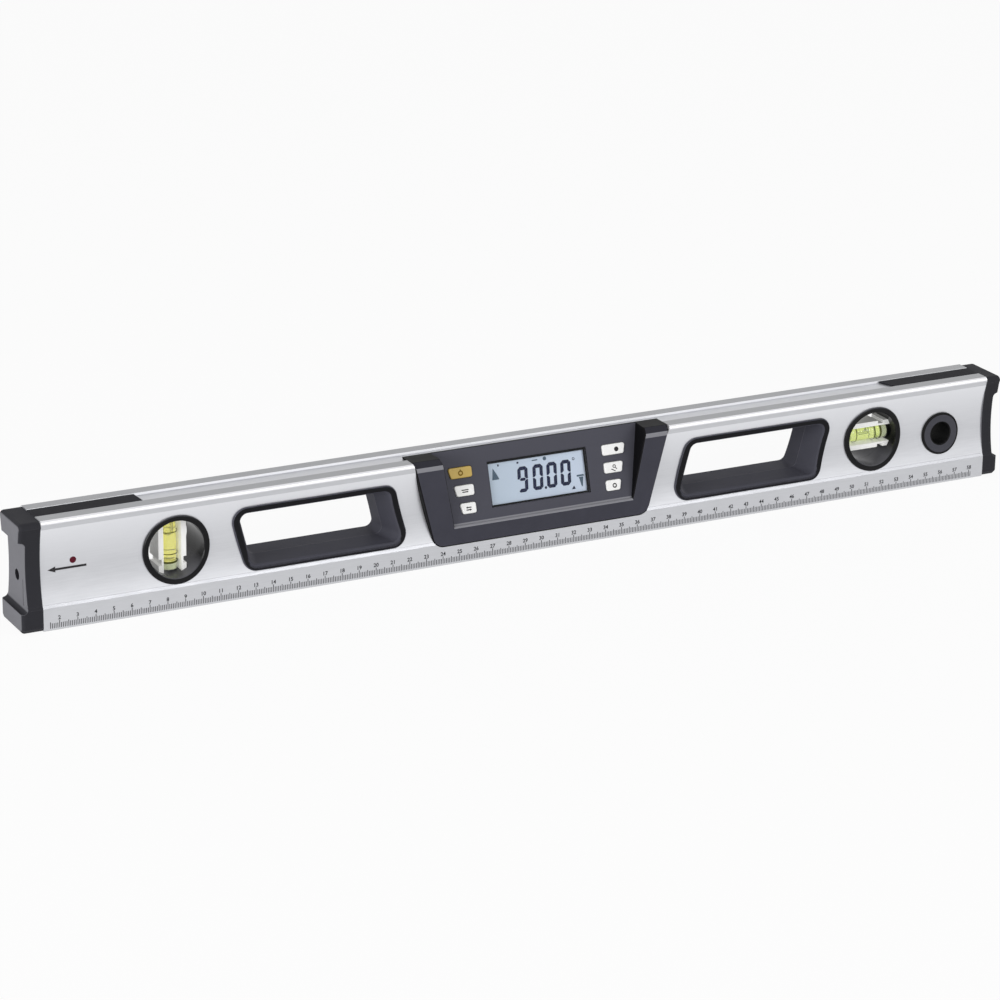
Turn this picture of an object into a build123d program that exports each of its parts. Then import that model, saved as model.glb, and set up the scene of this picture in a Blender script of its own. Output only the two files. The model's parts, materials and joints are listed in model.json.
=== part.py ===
# Digital spirit level: a waisted aluminium box section with end caps, two vials,
# two hand-holes, a hanging eyelet, a tilted display with six keys and a laser pointer.
# X runs along the level, -Y is the display side, +Z is up, and Z = 0 is the measuring base.
import os
from math import atan2, cos, sin, sqrt

from build123d import *

# Overall sizes
length = 600.0
height = 60.0
depth = 30.0
left_cap_length = 11.9
right_cap_length = 10.2

# Aluminium section
half_depth = depth / 2
wall = 2.0
web_low = 13.9
web_high = 55.1
waist_half_depth = 11.0
shoulder_half_depth = 14.25
band_high = 12.4
slope_top = 57.9
edge_radius = 2.0
foot_chamfer = 0.6
rail_inner = 6.2
channel_depth = 1.2
channel_slope = 0.4
cavity_low = 3.0
cavity_high = 57.0
cavity_half_depth = 12.25

# Round windows and hanging eyelet
plumb_vial_x = -212.9
level_vial_x = 215.2
vial_z = 32.8
window_rim_r = 18.75
window_hole_r = 17.8
window_spigot_r = 17.6
window_bore_r = 15.6
eyelet_x = 261.2
eyelet_z = 29.5
eyelet_rim_r = 12.2
eyelet_hole_r = 10.6
eyelet_spigot_r = 10.4
eyelet_bore_r = 6.4
rim_thickness = 1.2
rim_edge_half_depth = 14.9
rim_seat_gap = 0.05
rim_root = 0.3
half_seam = 0.05
small_gap = 0.05
ring_lip = 0.4
grip_lip = 0.5

# Hand-holes
left_grip_x = -131.0
right_grip_x = 135.4
grip_z = 32.2
grip_half_width = 48.0
grip_half_height = 17.9
grip_corner_r = 8.0
grip_spigot_inset = 1.7
grip_hole_inset = 1.5
grip_mouth_inset = 3.3
grip_waist_inset = 4.4
grip_waist_side_inset = 8.4
grip_waist_corner_r = 3.8
slant = 0.26

# Vial tube, fluid and bubble
holder_width = 15.6
holder_half_depth = 6.2
holder_r = 15.55
slot_width = 10.0
slot_start = -14.3
notch_place = 8.7
notch_width = 3.6
notch_depth = 1.7
tube_r = 4.9
tube_length = 28.2
tube_end = 1.8
plug_length = 4.0
bore_r = 4.4
fluid_r = 4.35
bubble_r = 2.2
bubble_length = 8.0
bubble_run_gap = 0.15
level_bubble_rise = 1.2
level_bubble_travel = (-5.0, 5.0)
plumb_bubble_travel = (0.0, 10.0)
plumb_bubble_end_gap = 0.4

# Display housing
housing_half_top = 78.3
housing_low = 10.7
housing_corner_r = 7.0
housing_wall = 2.0
housing_gap = 0.15
display_shift = 0.4
panel_shift = 1.1
panel_half_low = 55.0
panel_flare = 0.2
panel_foot_y = -13.2
panel_foot_z = 21.0
panel_head_y = -1.2
panel_reach = 48.0
lcd_low = 6.6
lcd_width = 60.6
lcd_height = 25.0
lcd_margin = 1.8
window_thickness = 1.2
window_ledge = 0.9
window_gap = 0.15
plate_corner_r = 0.6
housing_edge = 0.5
housing_ridge = 1.2
wing_run = 3.4
wing_drop = 3.0
wing_wall = 2.6
lcd_thickness = 2.0
backlight_thickness = 1.8
board_top = 6.4
board_thickness = 1.0
board_width = 108.0
board_low = 2.0
board_high = 36.0
chip_v = 31.0
chip_size = 7.0
chip_pitch = 11.2
chip_height = 1.0
sensor_x = 44.0
sensor_width = 12.0
sensor_rise = 8.0
sensor_height = 3.0
buzzer_r = 4.5
buzzer_port_r = 1.0

# Keys
key_inner = 40.2
key_outer = 53.8
key_height = 5.9
key_flare = 0.24
key_rows = {"top": 28.1, "middle": 18.2, "bottom": 8.45}
key_stand = 0.9
key_foot = 4.2
key_gap = 0.25
key_flange = 0.8
key_flange_low = 3.2
key_edge = 0.5
key_corner_r = 1.2
switch_x = 46.0
switch_size = 4.5
switch_height = 1.2

# Battery tray, door and cells
cell_r = 5.25
cell_length = 44.5
cell_y = 8.25
cell_pitch = 10.8
cell_z = 27.2
nub_r = 1.9
nub_length = 1.0
tray_half_length = 25.6
tray_half_height = 12.6
tray_wall = 1.85
tray_floor_y = 2.2
tray_floor = 0.75
tray_gap = 0.15
door_gap = 0.3
door_thickness = 1.25
door_axis_y = 14.0
door_axis_rise = 0.9
door_pin_r = 0.6
door_bore_r = 0.65
door_pin_length = 1.3
door_round = 0.8
thumb_rise = 3.4
thumb_width = 16.0
thumb_height = 3.6
thumb_depth = 0.6
contact_size = 8.0
contact_thickness = 0.35
dimple_height = 1.0
dimple_taper = 20

# Laser pointer
laser_z = 28.0
aperture_r = 3.0
lens_seat_r = 4.0
lens_seat_depth = 4.4
aperture_thickness = 1.0
barrel_r = 4.5
barrel_length = 30.0
barrel_start = 0.6
barrel_bore_depth = 8.0
collimator_r = 3.0
collimator_thickness = 2.0
bracket_length = 19.0
bracket_half_width = 7.0
bracket_half_height = 10.0

# End caps
block_height = 11.0
waist_recess = 3.7
spigot_length = 10.0
spigot_gap = 0.1
plug_hollow_width = 13.6
plug_hollow_height = 48.0
cap_base_gap = 0.1
cap_top_gap = 0.5
cap_top_r = 3.0
cap_foot = 2.0
cap_edge = 2.2
cap_waist_half_depth = 11.8
waist_corner_r = 2.5
seam_y = -8.2
seam_width = 0.5

# Top inlay strips
left_strip_front = 59.4
left_strip_back = 58.7
right_strip_front = 56.6
right_strip_back = 60.6
strip_half_width = 5.5
strip_thickness = 1.1

# Screws
post_rows = ((67.3, 46.0), (61.3, 20.0))
post_r = 3.0
post_end_y = 8.55
screw_r = 1.4
screw_head_r = 2.75
screw_head_height = 1.8
screw_hole_r = 1.7
screw_seat_r = 3.0
screw_seat_y = 11.55
screw_depth = 9.0
screw_edge = 0.4
screw_slot = 0.7
screw_slot_length = 3.2
board_boss_r = 2.1
board_boss_x = 35.2
board_boss_v = (8.0, 28.0)
board_screw_r = 0.8
board_screw_head_r = 1.7
board_screw_head = 0.8
board_screw_depth = 3.6
board_hole_r = 1.0

# Derived places
left_end = -length / 2
profile_left = left_end + left_cap_length
profile_right = length / 2 - right_cap_length
profile_length = profile_right - profile_left
mid_x = (profile_left + profile_right) / 2 + display_shift
web_mid_z = (web_low + web_high) / 2
web_sagitta = shoulder_half_depth - waist_half_depth
web_half_chord = (web_high - web_low) / 2
web_radius = (web_half_chord**2 + web_sagitta**2) / (2 * web_sagitta)
web_center_y = waist_half_depth + web_radius
panel_tilt = atan2(panel_head_y - panel_foot_y, height - panel_foot_z)
panel = Plane(
    origin=(mid_x + panel_shift, panel_foot_y, panel_foot_z),
    x_dir=(1, 0, 0),
    z_dir=(0, -cos(panel_tilt), sin(panel_tilt)),
)
lcd_mid_v = lcd_low + lcd_height / 2
lcd_front = -housing_wall - small_gap
backlight_front = lcd_front - lcd_thickness - small_gap
board_back = -board_top - board_thickness
bore_start = tube_end - tube_length / 2
bore_end = tube_length / 2 - plug_length
plumb_bubble_rest = bore_start + bubble_length / 2 + plumb_bubble_end_gap
board_boss_places = [(side * board_boss_x, v) for side in (-1, 1) for v in board_boss_v]
cell_heights = (cell_z - cell_pitch / 2, cell_z + cell_pitch / 2)
tray_low = cell_z - tray_half_height
tray_high = cell_z + tray_half_height
mouth_half_length = tray_half_length - tray_wall
door_low = tray_low + tray_wall + door_gap
door_high = tray_high - tray_wall - door_gap
door_axis_z = door_low + door_axis_rise
post_places = [(mid_x + side * x, z) for side in (-1, 1) for x, z in post_rows]


def web_y(z, grow=0.0):
    """Distance of a web's outer face from the mid-plane, grown outwards."""
    return web_center_y - sqrt((web_radius - grow) ** 2 - (z - web_mid_z) ** 2)


def web_curve(grow=0.0, side=1):
    """Arc of one concave web in the section, from its lower to its upper shoulder."""
    points = [(side * web_y(z, grow), z) for z in (web_low, web_mid_z, web_high)]
    return ThreePointArc(*points)


def rim_curve():
    """Arc of the front of a rim, which stays inside the overall depth."""
    edge = rim_edge_half_depth
    middle = waist_half_depth + rim_thickness
    return ThreePointArc((-edge, web_low), (-middle, web_mid_z), (-edge, web_high))


def write_piece(builder, name):
    """Label a finished piece and write its file."""
    builder.part.label = name
    export_step(builder.part, f"parts/{name}.step")


def rounded_face(corners, radius):
    """Draw a closed outline with all its corners rounded alike into the open sketch."""
    with BuildLine() as outline:
        FilletPolyline(*corners, radius=radius, close=True)
    make_face(outline.edges())


def leaning_outline(center_x, lean, inset, side_inset, radius):
    """Rounded parallelogram of a hand-hole, drawn a given inset inside its rim."""
    half_height = grip_half_height - inset
    half_width = grip_half_width - side_inset * sqrt(1 + slant**2)
    corners = []
    for sx, sz in ((-1, -1), (1, -1), (1, 1), (-1, 1)):
        shift = lean * slant * sz * half_height
        corners.append((center_x + sx * half_width + shift, grip_z + sz * half_height))
    rounded_face(corners, radius)


def even_grip(center_x, lean, inset):
    """Hand-hole outline with the same inset all round."""
    leaning_outline(center_x, lean, inset, inset, grip_corner_r - inset)


def waist_grip(center_x, lean):
    """Narrow hand-hole outline from mid-depth to the rear."""
    leaning_outline(center_x, lean, grip_waist_inset, grip_waist_side_inset, grip_waist_corner_r)


def housing_outline(grow=0.0, top=height):
    """Display housing seen from the front: wider at the top, round at the lower corners."""
    spread = grow * sqrt(1 + slant**2)
    half_low = housing_half_top - slant * (height - housing_low + grow) + spread
    half_top = housing_half_top + slant * (top - height) + spread
    low = housing_low - grow
    with BuildLine() as outline:
        Polyline(
            (mid_x - half_low, low),
            (mid_x + half_low, low),
            (mid_x + half_top, top),
            (mid_x - half_top, top),
            close=True,
        )
    face = make_face(outline.edges())
    fillet(face.vertices().sort_by(Axis.Y)[:2], housing_corner_r + grow)


def key_outline(side, row, grow=0.0):
    """One key on the panel, square at its inner end and leaning at its outer end."""
    low = row - key_height / 2 - grow
    high = row + key_height / 2 + grow
    inner = key_inner - grow
    outer_low = key_outer + key_flare * (low - key_rows["top"]) + grow
    outer_high = key_outer + key_flare * (high - key_rows["top"]) + grow
    corners = [
        (side * inner, low),
        (side * outer_low, low),
        (side * outer_high, high),
        (side * inner, high),
    ]
    rounded_face(corners, key_corner_r + grow)


os.makedirs("parts", exist_ok=True)

# Aluminium box section with its windows, hand-holes and display cut-out
with BuildPart() as profile:
    with BuildSketch(Plane.YZ.offset(profile_left)):
        with BuildLine():
            Polyline(
                (0, 0),
                (half_depth - foot_chamfer, 0),
                (half_depth, foot_chamfer),
                (half_depth, band_high),
                (shoulder_half_depth, web_low),
            )
            web_curve()
            Polyline(
                (shoulder_half_depth, web_high),
                (half_depth, slope_top),
                (half_depth, height - edge_radius),
            )
            RadiusArc(
                (half_depth, height - edge_radius),
                (half_depth - edge_radius, height),
                -edge_radius,
            )
            Polyline(
                (half_depth - edge_radius, height),
                (rail_inner, height),
                (rail_inner - channel_slope, height - channel_depth),
                (0, height - channel_depth),
            )
            mirror(about=Plane.YZ)
        make_face()
        with BuildLine():
            Polyline(
                (0, cavity_low),
                (cavity_half_depth, cavity_low),
                (cavity_half_depth, band_high),
                (web_y(web_low, -wall), web_low),
            )
            web_curve(-wall)
            Polyline(
                (web_y(web_high, -wall), web_high),
                (web_y(web_high, -wall), cavity_high),
                (0, cavity_high),
            )
            mirror(about=Plane.YZ)
        make_face(mode=Mode.SUBTRACT)
    extrude(amount=profile_length)
    with BuildSketch(Plane.XZ):
        with Locations((plumb_vial_x, vial_z), (level_vial_x, vial_z)):
            Circle(window_hole_r)
        with Locations((eyelet_x, eyelet_z)):
            Circle(eyelet_hole_r)
        even_grip(left_grip_x, -1, grip_hole_inset)
        even_grip(right_grip_x, 1, grip_hole_inset)
    extrude(amount=depth, both=True, mode=Mode.SUBTRACT)
    with BuildSketch(Plane.XZ.offset(-housing_gap)):
        housing_outline(housing_gap, height + wall)
    extrude(amount=depth, mode=Mode.SUBTRACT)
    with BuildSketch(Plane.XZ):
        with Locations((mid_x, cell_z)):
            Rectangle(2 * (tray_half_length + tray_gap), 2 * (tray_half_height + tray_gap))
        with Locations(*post_places):
            Circle(screw_hole_r)
    extrude(amount=-depth, mode=Mode.SUBTRACT)
    with BuildSketch(Plane.XZ.offset(-screw_seat_y)):
        with Locations(*post_places):
            Circle(screw_seat_r)
    extrude(amount=-depth, mode=Mode.SUBTRACT)
write_piece(profile, "profile")

# Curved blanks that the rims and liners are cut from, front side
with BuildPart() as rim_skin:
    with BuildSketch(Plane.YZ.offset(profile_left)):
        with BuildLine():
            web_curve(rim_seat_gap, -1)
            Line(
                (-web_y(web_high, rim_seat_gap), web_high),
                (-rim_edge_half_depth, web_high),
            )
            rim_curve()
            Line(
                (-rim_edge_half_depth, web_low),
                (-web_y(web_low, rim_seat_gap), web_low),
            )
        make_face()
    extrude(amount=profile_length)

with BuildPart() as under_rim:
    with BuildSketch(Plane.YZ.offset(profile_left)):
        with BuildLine():
            web_curve(rim_root, -1)
            Polyline(
                (-web_y(web_high, rim_root), web_high),
                (-half_seam, web_high),
                (-half_seam, web_low),
                (-web_y(web_low, rim_root), web_low),
            )
        make_face()
    extrude(amount=profile_length)


def rimmed_half(rim, spigot, core, lip):
    """Front half of a lined opening: a rim on the web and a wall to mid-depth, less its core."""
    with BuildPart() as flange:
        with BuildSketch(Plane.XZ):
            rim()
        extrude(amount=depth)
        add(rim_skin.part, mode=Mode.INTERSECT)
    with BuildPart() as half:
        with BuildSketch(Plane.XZ):
            spigot()
        extrude(amount=depth)
        add(under_rim.part, mode=Mode.INTERSECT)
        add(flange.part)
        add(core, mode=Mode.SUBTRACT)
        skin_face = half.faces().filter_by(GeomType.CYLINDER).sort_by(SortBy.RADIUS)[-1]
        chamfer(skin_face.edges(), lip)
    return half


def rear_half(front):
    """Rear half as the mirror image of a front half."""
    with BuildPart() as rear:
        mirror(front.part, about=Plane.XZ)
    return rear


def round_pair(name, x, z, radii):
    """Front and rear halves of a round lined opening: rim, spigot and bore radii."""
    rim_r, spigot_r, bore_r = radii

    def circle_at(radius):
        with Locations((x, z)):
            Circle(radius)

    with BuildPart() as core:
        with BuildSketch(Plane.XZ):
            circle_at(bore_r)
        extrude(amount=depth, both=True)
    front = rimmed_half(lambda: circle_at(rim_r), lambda: circle_at(spigot_r), core.part, ring_lip)
    write_piece(front, f"{name}_front")
    write_piece(rear_half(front), f"{name}_rear")


# Hand-hole liners: the front half narrows to mid-depth, the rear half stays narrow
for name, x, lean in (("left_grip", left_grip_x, -1), ("right_grip", right_grip_x, 1)):
    with BuildPart() as mouth:
        with BuildSketch(Plane.XZ.offset(half_depth)):
            even_grip(x, lean, grip_mouth_inset)
        with BuildSketch(Plane.XZ):
            waist_grip(x, lean)
        loft()
    with BuildPart() as passage:
        with BuildSketch(Plane.XZ):
            waist_grip(x, lean)
        extrude(amount=depth, both=True)
    for half_name, core in (("front", mouth), ("rear", passage)):
        half = rimmed_half(
            lambda: even_grip(x, lean, 0.0),
            lambda: even_grip(x, lean, grip_spigot_inset),
            core.part,
            grip_lip,
        )
        piece = half if half_name == "front" else rear_half(half)
        write_piece(piece, f"{name}_{half_name}")

round_pair("eyelet", eyelet_x, eyelet_z, (eyelet_rim_r, eyelet_spigot_r, eyelet_bore_r))


def capsule(plane, radius, low, high, mode=Mode.ADD):
    """Round-ended rod along a plane's normal, added to or cut from the open part."""
    side_dir = plane.x_dir.cross(plane.z_dir)
    with BuildSketch(Plane(origin=plane.origin, x_dir=plane.x_dir, z_dir=side_dir)) as half:
        with BuildLine():
            Line((0, high), (0, low))
            RadiusArc((0, low), (radius, low + radius), -radius)
            Line((radius, low + radius), (radius, high - radius))
            RadiusArc((radius, high - radius), (0, high), -radius)
        make_face()
    revolve(half.sketch, axis=Axis(plane.origin, plane.z_dir), mode=mode)


def vial(name, x, axis_dir, cross_dir, rise, rest, travel):
    """A vial set: rims, white holder, clear tube with its plug, fluid and bubble."""
    round_pair(f"{name}_vial_ring", x, vial_z, (window_rim_r, window_spigot_r, window_bore_r))
    face_on = Plane(origin=(x, 0, vial_z), x_dir=cross_dir, z_dir=Vector(cross_dir).cross(Vector(axis_dir)))
    end_on = Plane(origin=(x, 0, vial_z), x_dir=(0, 1, 0), z_dir=axis_dir)
    run_line = Plane(origin=(x, 0, vial_z + rise), x_dir=(0, 1, 0), z_dir=axis_dir)
    with BuildPart() as holder:
        with BuildSketch(face_on):
            Circle(holder_r)
            Rectangle(holder_width, 4 * holder_r, mode=Mode.INTERSECT)
            with Locations((0, (slot_start + 2 * holder_r) / 2)):
                Rectangle(slot_width, 2 * holder_r - slot_start, mode=Mode.SUBTRACT)
            with Locations((-holder_width / 2, notch_place), (holder_width / 2, notch_place)):
                Rectangle(2 * notch_depth, notch_width, mode=Mode.SUBTRACT)
        extrude(amount=holder_half_depth, both=True)
    write_piece(holder, f"{name}_vial_holder")
    with BuildPart() as tube:
        with BuildSketch(end_on.offset(-tube_length / 2)):
            Circle(tube_r)
        extrude(amount=tube_length)
        with BuildSketch(end_on.offset(bore_start)):
            Circle(bore_r)
        extrude(amount=tube_length, mode=Mode.SUBTRACT)
    write_piece(tube, f"{name}_vial_tube")
    with BuildPart() as plug:
        with BuildSketch(end_on.offset(bore_end)):
            Circle(fluid_r)
        extrude(amount=plug_length)
    write_piece(plug, f"{name}_vial_plug")
    with BuildPart() as fluid:
        with BuildSketch(end_on.offset(bore_start + small_gap)):
            Circle(fluid_r)
        extrude(amount=bore_end - bore_start - 2 * small_gap)
        capsule(
            run_line,
            bubble_r + bubble_run_gap,
            rest + travel[0] - bubble_length / 2 - bubble_run_gap,
            rest + travel[1] + bubble_length / 2 + bubble_run_gap,
            Mode.SUBTRACT,
        )
    write_piece(fluid, f"{name}_vial_fluid")
    with BuildPart() as bubble:
        capsule(run_line, bubble_r, rest - bubble_length / 2, rest + bubble_length / 2)
    write_piece(bubble, f"{name}_vial_bubble")


vial("plumb", plumb_vial_x, (0, 0, -1), (1, 0, 0), 0.0, plumb_bubble_rest, plumb_bubble_travel)
vial("level", level_vial_x, (1, 0, 0), (0, 0, 1), level_bubble_rise, 0.0, level_bubble_travel)


def cap_outline(base):
    """Outer outline of an end cap: the aluminium section, less waisted and rounder at the top."""
    top = height - cap_top_gap
    with BuildLine() as outline:
        Polyline(
            (0, base),
            (half_depth - cap_foot, base),
            (half_depth, base + cap_foot),
            (half_depth, band_high),
            (shoulder_half_depth, web_low),
        )
        ThreePointArc(
            (shoulder_half_depth, web_low),
            (cap_waist_half_depth, web_mid_z),
            (shoulder_half_depth, web_high),
        )
        Polyline(
            (shoulder_half_depth, web_high),
            (half_depth, top - cap_top_r),
        )
        RadiusArc((half_depth, top - cap_top_r), (half_depth - cap_top_r, top), -cap_top_r)
        Line((half_depth - cap_top_r, top), (0, top))
        mirror(about=Plane.YZ)
    make_face(outline.edges())


def plug_outline():
    """Outline of an end cap's plug, just inside the hollow of the section."""
    inset = spigot_gap
    with BuildLine() as outline:
        Polyline(
            (0, cavity_low + inset),
            (cavity_half_depth - inset, cavity_low + inset),
            (cavity_half_depth - inset, band_high),
            (web_y(web_low, -wall - inset), web_low),
        )
        web_curve(-wall - inset)
        Polyline(
            (web_y(web_high, -wall - inset), web_high),
            (web_y(web_high, -wall - inset), cavity_high - inset),
            (0, cavity_high - inset),
        )
        mirror(about=Plane.YZ)
    make_face(outline.edges())


def end_cap(inner_x, outer_x):
    """Draw an end cap into the open part: bumper blocks, set-back waist and hollow plug."""
    out = 1 if outer_x > inner_x else -1
    with BuildSketch(Plane.YZ.offset(inner_x)) as outer:
        cap_outline(cap_base_gap)
    extrude(outer.sketch, amount=outer_x - inner_x)
    end_face = faces().sort_by(Axis.X)[-1 if out > 0 else 0]
    fillet(end_face.edges(), cap_edge)
    with BuildSketch(Plane.XZ) as waist:
        with Locations((outer_x, height / 2)):
            RectangleRounded(2 * waist_recess, height - 2 * block_height, waist_corner_r)
    extrude(waist.sketch, amount=depth, both=True, mode=Mode.SUBTRACT)
    with BuildSketch(Plane.YZ.offset(inner_x)) as plug:
        plug_outline()
        with Locations((0, height / 2)):
            Rectangle(plug_hollow_width, plug_hollow_height, mode=Mode.SUBTRACT)
    extrude(plug.sketch, amount=-out * spigot_length)


waist_face = left_end + waist_recess
with BuildPart() as left_cap:
    end_cap(profile_left, left_end)
    with BuildSketch(Plane.YZ.offset(left_end)):
        with Locations((0, laser_z)):
            Circle(aperture_r)
    extrude(amount=left_cap_length, mode=Mode.SUBTRACT)
    with BuildSketch(Plane.YZ.offset(profile_left)):
        with Locations((0, laser_z)):
            Circle(lens_seat_r)
    extrude(amount=-lens_seat_depth, mode=Mode.SUBTRACT)
    with BuildSketch(Plane.YZ.offset(waist_face)):
        with Locations((seam_y, (block_height + laser_z) / 2)):
            Rectangle(seam_width, laser_z - block_height)
        with Locations((0, block_height + seam_width)):
            Rectangle(-2 * seam_y, seam_width)
    extrude(amount=seam_width, mode=Mode.SUBTRACT)
write_piece(left_cap, "left_end_cap")

with BuildPart() as right_cap:
    end_cap(profile_right, length / 2)
write_piece(right_cap, "right_end_cap")

# Inlay strips in the channel of the top face
for name, end_x, front_x, back_x in (
    ("left_top_strip", profile_left, left_strip_front, left_strip_back),
    ("right_top_strip", profile_right, -right_strip_front, -right_strip_back),
):
    with BuildPart() as strip:
        with BuildSketch(Plane.XY.offset(height - channel_depth)):
            with BuildLine():
                Polyline(
                    (end_x, -strip_half_width),
                    (end_x + front_x, -strip_half_width),
                    (end_x + back_x, strip_half_width),
                    (end_x, strip_half_width),
                    close=True,
                )
            make_face()
        extrude(amount=strip_thickness)
    write_piece(strip, name)


def panel_outline(grow=0.0):
    """The tilted panel inside the housing, flaring towards the top edge."""
    low = -grow
    half_low = panel_half_low + grow + panel_flare * low
    half_high = panel_half_low + grow + panel_flare * panel_reach
    with BuildLine() as outline:
        Polyline(
            (-half_low, low),
            (half_low, low),
            (half_high, panel_reach),
            (-half_high, panel_reach),
            close=True,
        )
    make_face(outline.edges())


def cut_wing_slope(grow=0.0):
    """Cut the slope along the housing's upper front edge from the open part."""
    with BuildSketch(Plane.YZ.offset(mid_x)) as slope:
        with BuildLine():
            Polyline(
                (-half_depth, height - wing_drop - grow),
                (-half_depth + wing_run + grow, height),
                (-half_depth, height),
                close=True,
            )
        make_face()
    extrude(slope.sketch, amount=housing_half_top + wing_wall, both=True, mode=Mode.SUBTRACT)


# Hollow behind the display housing's walls
with BuildPart() as housing_hollow:
    with BuildSketch(Plane.XZ):
        housing_outline(-housing_wall, height - housing_wall)
    extrude(amount=half_depth - housing_wall)
    cut_wing_slope(wing_wall)
    with BuildSketch(panel.offset(-housing_wall)):
        panel_outline(housing_wall)
    extrude(amount=2 * depth, mode=Mode.SUBTRACT)

# Display housing with its tilted panel, screw posts and board bosses
with BuildPart() as housing:
    with BuildSketch(Plane.XZ):
        housing_outline()
    extrude(amount=half_depth)
    cut_wing_slope()
    with BuildSketch(panel):
        panel_outline()
    extrude(amount=2 * depth, mode=Mode.SUBTRACT)
    level_edges = housing.faces().sort_by(Axis.Y)[0].edges().filter_by(Axis.X)
    fillet(level_edges.filter_by_position(Axis.Z, panel_foot_z, height), housing_ridge)
    outer_edges = housing.faces().sort_by(Axis.Y)[0].edges()
    chamfer(outer_edges.filter_by(Axis.X, reverse=True), housing_edge)
    add(housing_hollow.part, mode=Mode.SUBTRACT)
    with BuildSketch(panel):
        with Locations((0, lcd_mid_v)):
            Rectangle(lcd_width + 2 * window_gap, lcd_height + 2 * window_gap)
    extrude(amount=-window_thickness, mode=Mode.SUBTRACT)
    with BuildSketch(panel):
        with Locations((0, lcd_mid_v)):
            Rectangle(lcd_width - 2 * window_ledge, lcd_height - 2 * window_ledge)
        for side in (-1, 1):
            for row in key_rows.values():
                key_outline(side, row, key_gap)
    extrude(amount=-2 * housing_wall, mode=Mode.SUBTRACT)
    with BuildSketch(panel.offset(-board_top)):
        with Locations(*board_boss_places):
            Circle(board_boss_r)
    extrude(amount=board_top - housing_wall)
    with BuildSketch(Plane.XZ.offset(-post_end_y)):
        with Locations(*post_places):
            Circle(post_r)
    extrude(amount=post_end_y + half_depth - housing_wall)
    with BuildSketch(panel.offset(-board_top)):
        with Locations(*board_boss_places):
            Circle(board_screw_r)
    extrude(amount=board_screw_depth, mode=Mode.SUBTRACT)
    with BuildSketch(Plane.XZ.offset(-post_end_y)):
        with Locations(*post_places):
            Circle(screw_r)
    extrude(amount=screw_depth, mode=Mode.SUBTRACT)
write_piece(housing, "display_housing")


def panel_plate(name, front, width, rise, low, thickness):
    """A flat plate behind the panel: its front depth, size and lower edge on the panel."""
    with BuildPart() as plate:
        with BuildSketch(panel.offset(front)):
            with Locations((0, low + rise / 2)):
                RectangleRounded(width, rise, plate_corner_r)
        extrude(amount=-thickness)
        if name == "display_board":
            with BuildSketch(panel.offset(front)):
                with Locations(*board_boss_places):
                    Circle(board_hole_r)
            extrude(amount=-thickness, mode=Mode.SUBTRACT)
    write_piece(plate, name)


glass_width = lcd_width + 2 * lcd_margin
glass_rise = lcd_height + 2 * lcd_margin
glass_low = lcd_low - lcd_margin
panel_plate("display_window", 0.0, lcd_width, lcd_height, lcd_low, window_thickness)
panel_plate("lcd_glass", lcd_front, glass_width, glass_rise, glass_low, lcd_thickness)
panel_plate("backlight", backlight_front, glass_width, glass_rise, glass_low, backlight_thickness)
panel_plate("display_board", -board_top, board_width, board_high - board_low, board_low, board_thickness)

# Six keys, each with a retaining flange under the panel
for side_name, side in (("left", -1), ("right", 1)):
    for row_name, row in key_rows.items():
        with BuildPart() as key:
            with BuildSketch(panel.offset(-key_foot)):
                key_outline(side, row)
            extrude(amount=key_foot + key_stand)
            fillet(key.faces().sort_by(Axis(panel.origin, panel.z_dir))[-1].edges(), key_edge)
            with BuildSketch(panel.offset(-key_flange_low)):
                key_outline(side, row, key_flange)
            extrude(amount=key_flange_low - housing_wall - key_gap)
        write_piece(key, f"key_{side_name}_{row_name}")

# Key switches, chips, tilt sensor and buzzer on the display board
switch_places = [(side * switch_x, row) for side in (-1, 1) for row in key_rows.values()]
with BuildPart() as switches:
    with BuildSketch(panel.offset(-board_top)):
        with Locations(*switch_places):
            RectangleRounded(switch_size, switch_size, plate_corner_r / 2)
    extrude(amount=switch_height)
write_piece(switches, "key_switches")

with BuildPart() as chips:
    with BuildSketch(panel.offset(board_back)):
        with Locations((0, chip_v)):
            Rectangle(chip_size, chip_size)
        with Locations((-chip_pitch, chip_v), (chip_pitch, chip_v)):
            Rectangle(chip_size / 2, chip_size / 2)
    extrude(amount=-chip_height)
write_piece(chips, "board_chips")

with BuildPart() as tilt_sensor:
    with BuildSketch(panel.offset(board_back)):
        with Locations((sensor_x, chip_v)):
            RectangleRounded(sensor_width, sensor_rise, plate_corner_r)
    extrude(amount=-sensor_height)
write_piece(tilt_sensor, "tilt_sensor")

with BuildPart() as buzzer:
    with BuildSketch(panel.offset(board_back)):
        with Locations((-sensor_x, chip_v)):
            Circle(buzzer_r)
    extrude(amount=-sensor_height)
    with BuildSketch(panel.offset(board_back - sensor_height)):
        with Locations((-sensor_x, chip_v)):
            Circle(buzzer_port_r)
    extrude(amount=sensor_height / 2, mode=Mode.SUBTRACT)
write_piece(buzzer, "buzzer")

# Battery tray with its hinge bores
with BuildPart() as tray:
    with BuildSketch(Plane.XZ.offset(-tray_floor_y)):
        with Locations((mid_x, cell_z)):
            Rectangle(2 * tray_half_length, 2 * tray_half_height)
    extrude(amount=-(half_depth - tray_floor_y))
    with BuildSketch(Plane.XZ.offset(-tray_floor_y - tray_floor)):
        with Locations((mid_x, cell_z)):
            Rectangle(2 * mouth_half_length, 2 * (tray_half_height - tray_wall))
    extrude(amount=-depth, mode=Mode.SUBTRACT)
    with BuildSketch(Plane.YZ.offset(mid_x)):
        with Locations((door_axis_y, door_axis_z)):
            Circle(door_bore_r)
    extrude(amount=mouth_half_length + door_pin_length + small_gap, both=True, mode=Mode.SUBTRACT)
write_piece(tray, "battery_tray")

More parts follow.
